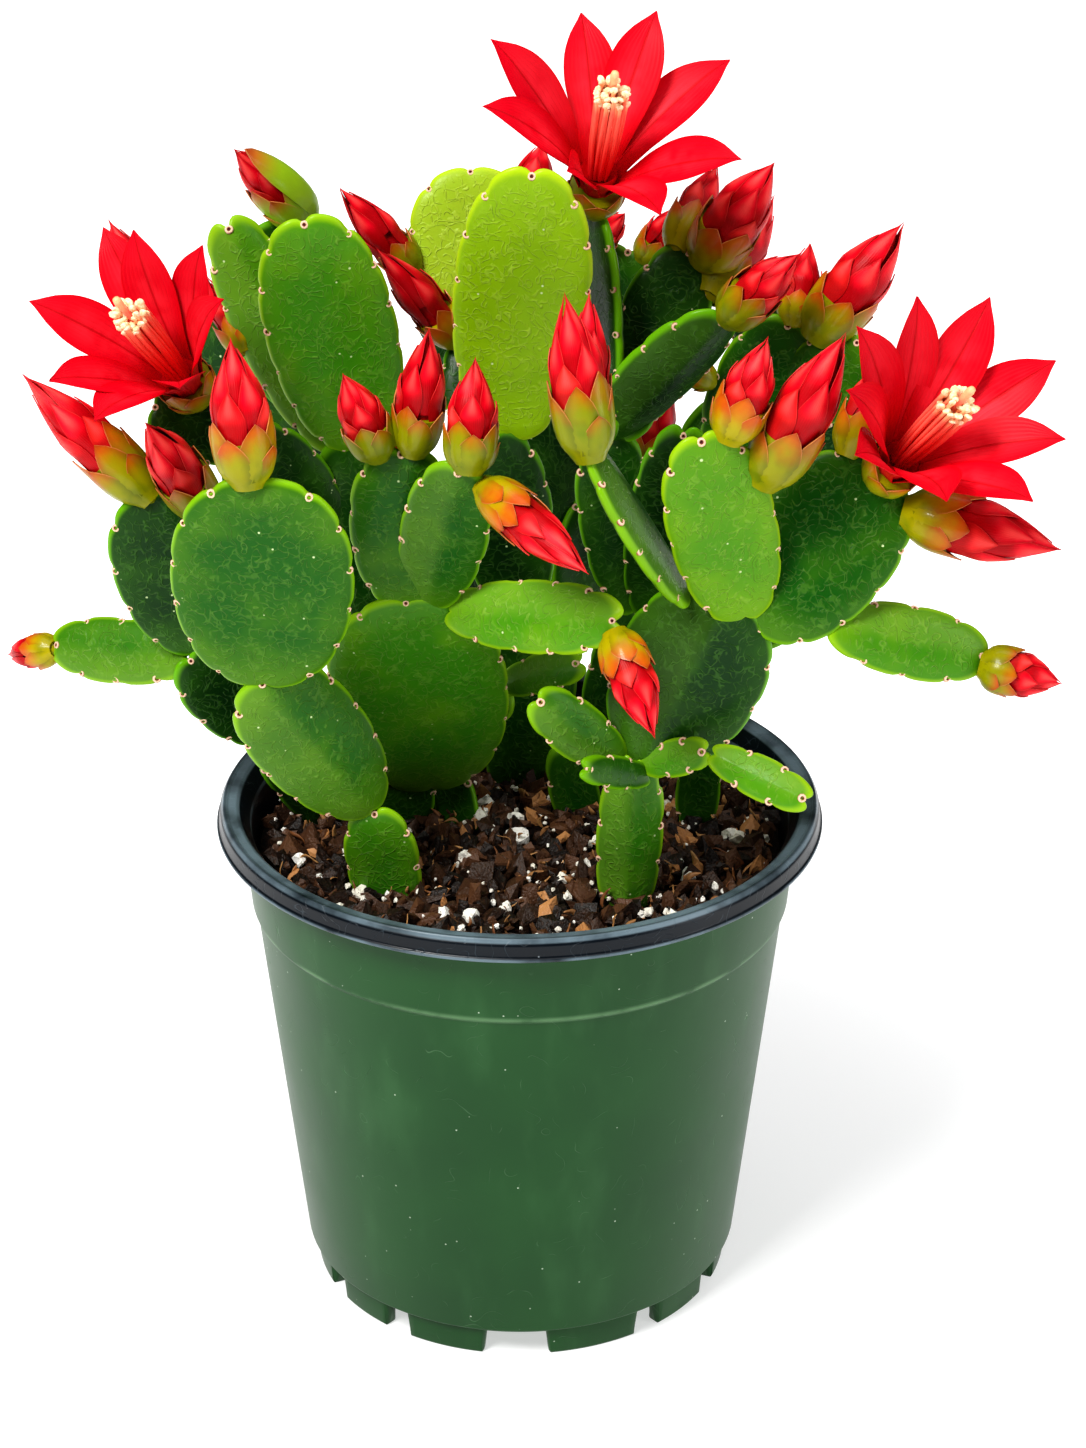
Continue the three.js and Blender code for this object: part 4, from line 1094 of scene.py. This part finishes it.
# The cup's flesh is yellow-green, blushing through orange to the tips; its scales end in thin tan.
cup_skin = Finish("cup_skin", Coat_Weight=0.18, Coat_Roughness=0.14, Specular_IOR_Level=0.16)
tip = cup_skin.value("tip")
cup_drift = cup_skin.cloud(5, 2)
off_keel = cup_skin.value("across").maths("ABSOLUTE")
cup_hue = cup_skin.value("hue")
lime_scale = cup_skin.mix(tip.between(0.6, 1), (150, 188, 34), (196, 90, 40))
flesh = cup_skin.over(
    cup_skin.mix(cup_hue, (126, 134, 0), (172, 156, 0)),
    (cup_drift.between(0.45, 0.8) * 0.6, (84, 112, 0)),
    # Painted shade: each scale darker olive towards its sides, where the scales lap.
    (off_keel.between(0.3, 0.95) * 0.5, (70, 80, 0)),
    ((tip + cup_drift * 0.6 + cup_hue * 0.3).between(0.85, 1.5) * 0.75, (206, 56, 24)),
    (cup_skin.value("lime"), lime_scale),
    (tip.between(0.88, 1.0) * 0.5, (132, 52, 16)),
    (off_keel.between(0.9, 1) * tip.between(0.5, 0.8) * 0.7, (206, 140, 84)),
)
cup_skin.wear(Base_Color=flesh, Roughness=cup_drift * 0.15 + 0.3)
cup_skin.relief(cup_skin.cloud(2.2, 2), 0.12)

# Tepals are satin red with fine veins. Their paler middles are a painted highlight, their deeper feet and
# darker sides painted shade where the tepals lap, and a thin painted highlight runs along their edges.
tepal_skin = Finish("tepal_skin", Coat_Weight=0.05, Coat_Roughness=0.3, Specular_IOR_Level=0.12)
tepal_side = tepal_skin.value("across")
tepal_tip = tepal_skin.value("tip")
tepal_drift = tepal_skin.cloud(4, 2)
vein = (tepal_side * 7 + tepal_drift * 1.2).maths("PINGPONG")
off_mid = tepal_side.maths("ABSOLUTE")
# Painted highlight along the middle of each tepal's upper part.
keel_highlight = off_mid.between(0.7, 0.05) * tepal_tip.between(0.5, 0.72) * tepal_tip.between(1, 0.9)
satin = tepal_skin.over(
    tepal_skin.mix(tepal_drift.between(0.35, 0.7), (214, 0, 34), (238, 6, 44)),
    (tepal_skin.value("warm") * 0.4, (240, 74, 52)),
    (keel_highlight * 0.75, (255, 84, 80)),
    # Painted shade: darker towards each tepal's foot, where the outer tepals cover it.
    (tepal_tip.between(0.62, 0.42) * 0.7, (146, 0, 12)),
    # Painted shade: darker towards each tepal's sides, where the next one laps it.
    (off_mid.between(0.55, 0.95) * 0.55, (168, 0, 16)),
    # Painted highlight: a thin pale line along the tepals' edges.
    (off_mid.between(0.92, 1) * tepal_tip.between(0.5, 0.7) * 0.3, (250, 96, 88)),
    (vein.between(0.1, 0) * 0.16, (150, 2, 14)),
)
tepal_skin.wear(Base_Color=satin, Roughness=tepal_drift * 0.2 + 0.3)
tepal_skin.relief(vein + tepal_drift * 0.4, 0.06)

# How far up the bundle each tepal of a large and of a small bud reaches, as shares of its height.
LARGE_TIPS = (0.28, 0.35, 0.42, 0.48, 0.56, 0.64, 0.7, 0.78, 0.86, 0.93, 0.98, 1)
SMALL_TIPS = (0.36, 0.44, 0.52, 0.64, 0.74, 0.84, 0.93, 0.98, 1)
SMALL_BUD = 9.5
TEPAL_REACH = 0.52
CUP_COUNT = 9


def tepal_inset(bud, share):
    """How far the red bundle stands in from the bud's outline: it is narrow within the cup."""
    t = min(1, max(0, (share - bud.green) / 0.14))
    return 1.4 * (1 - t) + 0.62 * t


for bud in buds:
    form = Form("across", "tip", "warm")
    draw = random.Random(bud.name + "turn")
    start = draw.uniform(0, 6)
    bud_core(form, bud, low=bud.green * 0.55, high=0.9, inset=1.5)
    tips = SMALL_TIPS if bud.width < SMALL_BUD else LARGE_TIPS
    for i, reach in enumerate(tips):
        t = i / (len(tips) - 1)
        high = bud.green + (1 - bud.green) * reach + draw.uniform(-0.01, 0.01)
        low = max(bud.green * 0.6, high - TEPAL_REACH)

        def stand(share, v):
            return 0.9 * (1 - t) - tepal_inset(bud, share) + 0.16 * v**4

        turn, half_width = start + i * GOLDEN, bud.width * (0.29 - 0.03 * t)
        warm = max(0, 1 - 3.5 * t)
        bud_scale(form, bud, turn, low, min(high, 1), half_width, stand, TEPAL_OUTLINE, warm=warm)
    piece(bud.name + "_tepals", form.mesh(tepal_skin, crease=34), "bud_red", bud.name)


def grow_cup(form, cup):
    """A cup of pointed green scales, each lapping the next, round a fleshy body."""
    hue, lime = random.Random(cup.name).random(), float(cup.name == "bud_01")
    draw = random.Random(cup.name + "cup")
    start = draw.uniform(0, 6)
    bud_core(form, cup, low=0.0, high=cup.green * 0.75, inset=0.25, hue=hue)
    for i in range(CUP_COUNT):
        t = i / (CUP_COUNT - 1)
        reach = cup.green * (0.66 + 0.48 * t**0.6) + draw.uniform(-0.02, 0.02)

        def stand(share, v):
            return (0.3 * (1 - t) - 0.05) * (0.3 + 0.7 * v) + 0.35 * v**5

        turn, half_width = start + i * GOLDEN, cup.width * (0.3 + 0.05 * t)
        bud_scale(form, cup, turn, -0.02, reach, half_width, stand, SCALE_OUTLINE, 0.35, hue=hue, lime=lime)
    if lime:
        # This bud's longest scale is broad and still pale, and reaches nearly to the tip.
        turn, half_width = radians(58), cup.width * 0.46

        def stand(share, v):
            return 0.5 + 0.5 * v**3

        bud_scale(form, cup, turn, 0.05, 0.93, half_width, stand, SCALE_OUTLINE, 0.5, hue=hue, lime=lime)

# ---------------------------------------------------------------- the open flowers
# Stars of satin red petals in two whorls, each flower a short funnel that stands in a cup like a
# bud's. The petals are thin and channelled, with pointed tips that bend back a little.

FLOWER_CUP = {"width": 11.5, "length": 21, "green": 0.4}
PETAL_WIDTH = 0.355
TURN_DONE = 0.5
PETAL_OUTLINE = (
    (0, 0.5), (0.2, 0.72), (0.4, 0.92), (0.57, 1), (0.73, 0.88), (0.86, 0.56), (0.94, 0.24), (0.975, 0.1),
    (1, 0.02),
)
PETAL_ROWS = 26
PETAL_COLUMNS = 14
PETAL_CLAW = 0.16  # the share of a petal's length that is hidden in the funnel
PETAL_THICK = 0.5
FUNNEL = ((-9.5, 0), (-9, 2.6), (-6, 3.5), (-3.4, 3.9), (-3, 3.6), (-4, 2.8), (-6, 0))  # height and radius


class Flower(Growth):
    """An open flower. Its cup is a bud's, and its petals turn about the axis from upright."""

    def __init__(self, name, root, throat, aim, depth, petal_length, petals):
        axis = Vector(aim).normalized()
        base = Vector(throat) - axis * depth
        super().__init__(base, base + axis * FLOWER_CUP["length"])
        self.name, self.root, self.throat = name, root, Vector(throat)
        self.petal_length, self.petals = petal_length, petals
        self.width, self.green = FLOWER_CUP["width"], FLOWER_CUP["green"]
        self.up = (Vector((0, 0, 1)) - axis * axis.z).normalized()
        self.right = self.up.cross(axis)

    def out(self, turn):
        return self.up * cos(turn) + self.right * sin(turn)

    def ring(self, height, radius, sides=24):
        """A ring of points about the flower's axis, or the one point in its middle."""
        turns = [2 * pi * i / sides for i in range(sides if radius else 1)]
        return [self.throat + self.along * height + self.out(-t) * radius for t in turns]


flowers = [Flower(*row) for row in FLOWERS]

petal_skin = Finish("petal_skin", Coat_Weight=0.03, Coat_Roughness=0.35, Specular_IOR_Level=0.1)
petal_rise = petal_skin.value("rise")
petal_drift = petal_skin.cloud(6, 2)
off_mid = petal_skin.value("across").maths("ABSOLUTE")
lanes = (off_mid * 6 + petal_drift * 0.8).maths("PINGPONG")
sheen = off_mid.between(0.95, 0.1) * petal_rise.between(1.0, 0.4) * petal_drift.between(0.25, 0.65)
silk = petal_skin.over(
    petal_skin.mix(sheen, (212, 2, 36), (236, 46, 62)),
    # Painted shade: darker red towards the petals' feet in the throat.
    (petal_rise.between(0.34, 0.0) * 0.75, (186, 0, 16)),
    (off_mid.between(0.8, 1) * 0.45, (200, 0, 24)),
    # Painted shade: a dark line along each petal's mid crease.
    (off_mid.between(0.09, 0.0) * 0.75, (176, 0, 18)),
    (lanes.between(0.1, 0) * petal_skin.cloud(2.5, 1).between(0.35, 0.6) * 0.5, (186, 0, 22)),
)
petal_skin.wear(Base_Color=silk, Roughness=petal_drift * 0.2 + 0.36)
petal_skin.relief(lanes + off_mid.between(0.0, 0.08) * 1.5, 0.08)


def grow_petal(form, flower, azimuth, share, opening, turn, outer, draw):
    """One petal: it leaves the throat along the flower's axis, arches out to its tip, and turns a
    little about its own length."""
    out = flower.out(radians(azimuth))
    reach = flower.petal_length * share
    ahead, away = reach * cos(radians(opening)), reach * sin(radians(opening))
    tip = flower.throat + flower.along * ahead + out * away
    root = flower.throat - flower.along * 7 + out * (2.5 + 0.5 * outer)
    knee = flower.throat + flower.along * (0.4 * ahead + 0.8 - 1.2 * outer)
    knee = knee + out * (0.3 * away + 1.2 + 1.4 * outer)
    side = out.cross(flower.along).normalized()
    width = flower.petal_length * PETAL_WIDTH * (0.55 + 0.45 * share)
    wave, phase = draw.uniform(0.1, 0.35), draw.uniform(0, 6)

    def clear_of_claw(t):
        return max(0, (t - PETAL_CLAW) / (1 - PETAL_CLAW))

    def place(sheet, t, u):
        at = root * (1 - t) ** 2 + knee * 2 * t * (1 - t) + tip * t * t
        way = ((knee - root) * (1 - t) + (tip - knee) * t).normalized()
        lean = Quaternion(way, radians(turn) * min(1, t / TURN_DONE)) @ side
        leaf = clear_of_claw(t)
        half = width / 2 * along_outline(PETAL_OUTLINE, leaf)
        bend = 0.9 * max(0, (leaf - 0.75) / 0.25) ** 2
        crease = 0.4 * (1 - abs(u)) ** 3 * min(1, 3 * (1 - leaf))
        channel = (0.16 * half * u * u + 0.35 * abs(u) * (1 - leaf)) * min(1, 3 * leaf + 0.3)
        ruffle = wave * u * abs(u) * sin(6 * leaf + phase) * leaf
        thick = PETAL_THICK * (1 - 0.6 * abs(u)) * (1 - 0.5 * leaf)
        lift = crease - channel + ruffle + bend + (sheet - 0.5) * thick
        return at + lean * (u * half) + way.cross(lean) * lift

    rows = [clear_of_claw(j / PETAL_ROWS) for j in range(PETAL_ROWS + 1)]
    rises = [rise for rise in rows for _ in range(PETAL_COLUMNS + 1)] * 2
    form.leaf(PETAL_ROWS, PETAL_COLUMNS, place, rise=rises)


for flower in flowers:
    draw = random.Random(flower.name)
    form = Form("across", "rise")
    form.rings([flower.ring(height, radius) for height, radius in FUNNEL])
    for i, petal in enumerate(flower.petals):
        grow_petal(form, flower, *petal, i % 2, draw)
    name = flower.name + "_petals"
    piece(name + "_silk", form.mesh(petal_skin, crease=50), "petal_red", name)

# Their cups and those of the buds grow on the stems.
for stem, rows in STEMS.items():
    names = [name for name, *_ in rows]
    form = Form("across", "tip", "hue", "lime")
    for cup in buds + flowers:
        if cup.root in names:
            grow_cup(form, cup)
    if form.points:
        piece(stem + "_cups", form.mesh(cup_skin, crease=50), "pad_skin")

# ---------------------------------------------------------------- the stamens
# In each flower a sheaf of salmon filaments, each with a lobed cream anther, and through the middle
# the stouter red style with its pale stigma.

FILAMENTS = 44
FILAMENT_RADIUS = 0.46
FILAMENT_STEPS = 6
FILAMENT_SIDES = 6
FILAMENT_TURN = 2.4
FILAMENT_FOOT = -4  # its height from the throat
SHEAF_HEIGHT = 17
STYLE_SIDES = 16
STYLE = (  # height from the throat, and radius
    (-4, 0), (-3.9, 1.5), (4, 1.7), (14, 1.9), (16.5, 1.7), (18, 0.8), (22, 0.75), (23.6, 0.9), (24.5, 0.7),
    (24.9, 0),
)

filament_skin = Finish("filament_skin", Roughness=0.4)
strand = filament_skin.value("along")
filament_body = filament_skin.mix(strand.between(0, 0.8), (226, 30, 40), (255, 118, 98))
filament_skin.wear(Base_Color=filament_skin.mix(strand.between(0.85, 1), filament_body, (255, 186, 134)))
filament_skin.relief(filament_skin.cloud(0.8), 0.05)
anther_skin = Finish("anther_skin", Roughness=0.7)
meal = anther_skin.cloud(0.6, 3)
anther_skin.wear(Base_Color=anther_skin.mix(meal.between(0.3, 0.7), (250, 206, 150), (255, 242, 208)))
anther_skin.relief(meal, 0.1)

# Turns each line of its base into a round tube, with the way along it as a value.
tubes, lines = tree_of("tubes", Radius="Float")
size = {"Resolution": FILAMENT_SIDES, "Radius": lines.other("Radius")}
section = tubes.node("GeometryNodeCurvePrimitiveCircle", size)
marked = {
    "Geometry": tubes.node("GeometryNodeMeshToCurve", {"Mesh": lines}),
    "Name": "along",
    "Value": tubes.node("GeometryNodeSplineParameter", output="Factor"),
}
curves = tubes.node("GeometryNodeStoreNamedAttribute", marked)
skins = tubes.node("GeometryNodeCurveToMesh", {"Curve": curves, "Profile Curve": section, "Fill Caps": True})
deliver(tubes, lines, tubes.node("GeometryNodeSetShadeSmooth", {"Geometry": skins}))


def tubes_along(paths, radius, coat):
    """Round tubes along open paths, as one plain mesh."""
    points, edges = [], []
    for path in paths:
        edges += [[len(points) + i, len(points) + i + 1] for i in range(len(path) - 1)]
        points += path
    base = bpy.data.meshes.new("lines")
    base.from_pydata([point * MM for point in points], edges, [])
    return grown(base, tubes.tree, coat, Radius=radius * MM)


def pollen_sacs(at):
    """The shape of an anther: two lobes side by side, from a ball."""
    pinch = 1 - 0.35 * exp(-((at.x / 0.25) ** 2))
    lobe = 1 + 0.25 * noise.noise(at * 2.2)
    return Vector((at.x * 0.75, at.y * 0.55 * pinch, at.z * 1.05)) * lobe


anther = ball(2, 1, pollen_sacs)
anther.shade_smooth()
for flower in flowers:
    draw = random.Random(flower.name + "stamens")
    paths, anthers = [], []
    for i in range(FILAMENTS):
        about = i * FILAMENT_TURN
        out = flower.out(about)
        spread = sqrt((i + 0.5) / FILAMENTS)
        foot = out * (2.0 * spread)
        head = flower.out(about + draw.uniform(-0.2, 0.2)) * (0.5 + 2.9 * spread + draw.uniform(-0.3, 0.3))
        rise = SHEAF_HEIGHT + draw.uniform(0.2, 4.4) - 1.2 * spread - FILAMENT_FOOT
        path = []
        for k in range(FILAMENT_STEPS + 1):
            t = k / FILAMENT_STEPS
            bow = out * (0.35 * sin(pi * t))
            at = flower.throat + flower.along * (FILAMENT_FOOT + rise * t)
            path.append(at + foot * (1 - t) + head * t + bow)
        paths.append(path)
        aim = out * draw.uniform(0.5, 1.6) + flower.along + flower.out(draw.uniform(0, 6)) * 0.6
        anthers.append((path[-1], aim, draw.uniform(0.85, 1.15)))
    name = flower.name + "_stamens"
    piece(name + "_filaments", tubes_along(paths, FILAMENT_RADIUS, filament_skin), "petal_red")
    piece(name + "_anthers", studded(anther, anther_skin, anthers), "stamen_cream", name)
    style = Form("along")
    shares = [min(1, max(0, (h - 2) / 21)) for h, r in STYLE for _ in range(STYLE_SIDES if r else 1)]
    style.rings([flower.ring(h, r, STYLE_SIDES) for h, r in STYLE], along=shares)
    piece(flower.name + "_style", style.mesh(filament_skin), "petal_red")

# ---------------------------------------------------------------- the table, the light and the camera
# A plain white table under soft studio light, seen from a little above. The table also glows with painted
# light, dimmer near the pot and brighter far out.

TABLE_RADIUS = 2600
TABLE_RINGS = 8
TABLE_SIDES = 48
SKY_STRENGTH = 0.08
CAMERA_LENS = 87
CAMERA_DISTANCE = 753.4
CAMERA_HEIGHT = 25.94  # degrees above the level
CAMERA_AIM = Vector((5.05, 0, 131.4))
LAMPS = (
    # name, place and target in mm, width and height in mm, power in watts, colour
    ("key", (-640, -820, 1300), (0, 0, 160), 500, 500, 23, (1, 0.99, 0.97)),
    ("fill", (1100, -500, 500), (0, 0, 140), 400, 900, 4.5, (0.97, 0.98, 1)),
    ("top", (100, 0, 1500), (0, 0, 150), 1400, 1400, 11, (1, 1, 1)),
)


white = Finish("white_table", Roughness=0.8, Specular_IOR_Level=0.1, Emission_Strength=1.0)
away = white.node("ShaderNodeVectorMath", {0: white.place}, 1, operation="LENGTH") * (1 / MM)
paper = white.mix(white.cloud(60, 2) * 0.3, (196, 196, 197), (200, 200, 201))
# Painted light: the table glows, dimmer near the pot where the shadow falls and brighter far out.
painted_table_glow = white.mix(away.between(90, 300), (184, 184, 184), (250, 250, 250))
white.wear(Base_Color=paper, Emission_Color=painted_table_glow)
table = Form()
reaches = [TABLE_RADIUS - (TABLE_RADIUS - 1) * (i / TABLE_RINGS) ** 0.4 for i in range(TABLE_RINGS + 1)]
table.rings([circle(reach, 0.0, TABLE_SIDES) for reach in [*reaches, 0]])
placed("white_table", table.mesh(white))

for name, place, target, width, height, power, colour in LAMPS:
    lamp = bpy.data.lights.new(name, "AREA")
    lamp.shape = "RECTANGLE"
    lamp.size, lamp.size_y = width * MM, height * MM
    lamp.energy = power
    lamp.color = colour
    stand = placed(name, lamp)
    stand.location = Vector(place) * MM
    stand.rotation_euler = (Vector(target) - Vector(place)).to_track_quat("-Z", "Y").to_euler()

sky = bpy.data.worlds.new("studio")
sky.use_nodes = True
sky.node_tree.nodes["Background"].inputs["Color"].default_value = (1, 1, 1, 1)
sky.node_tree.nodes["Background"].inputs["Strength"].default_value = SKY_STRENGTH
bpy.context.scene.world = sky
bpy.context.scene.view_settings.view_transform = "Standard"
bpy.context.scene.view_settings.look = "Medium High Contrast"

eye = bpy.data.cameras.new("camera")
eye.lens = CAMERA_LENS
eye.sensor_width = 36
eye.clip_start = 0.01
camera = placed("camera", eye)
level = radians(CAMERA_HEIGHT)
back = Vector((0, -cos(level), sin(level)))
camera.location = (CAMERA_AIM + back * CAMERA_DISTANCE) * MM
camera.rotation_euler = (-back).to_track_quat("-Z", "Y").to_euler()
bpy.context.scene.camera = camera
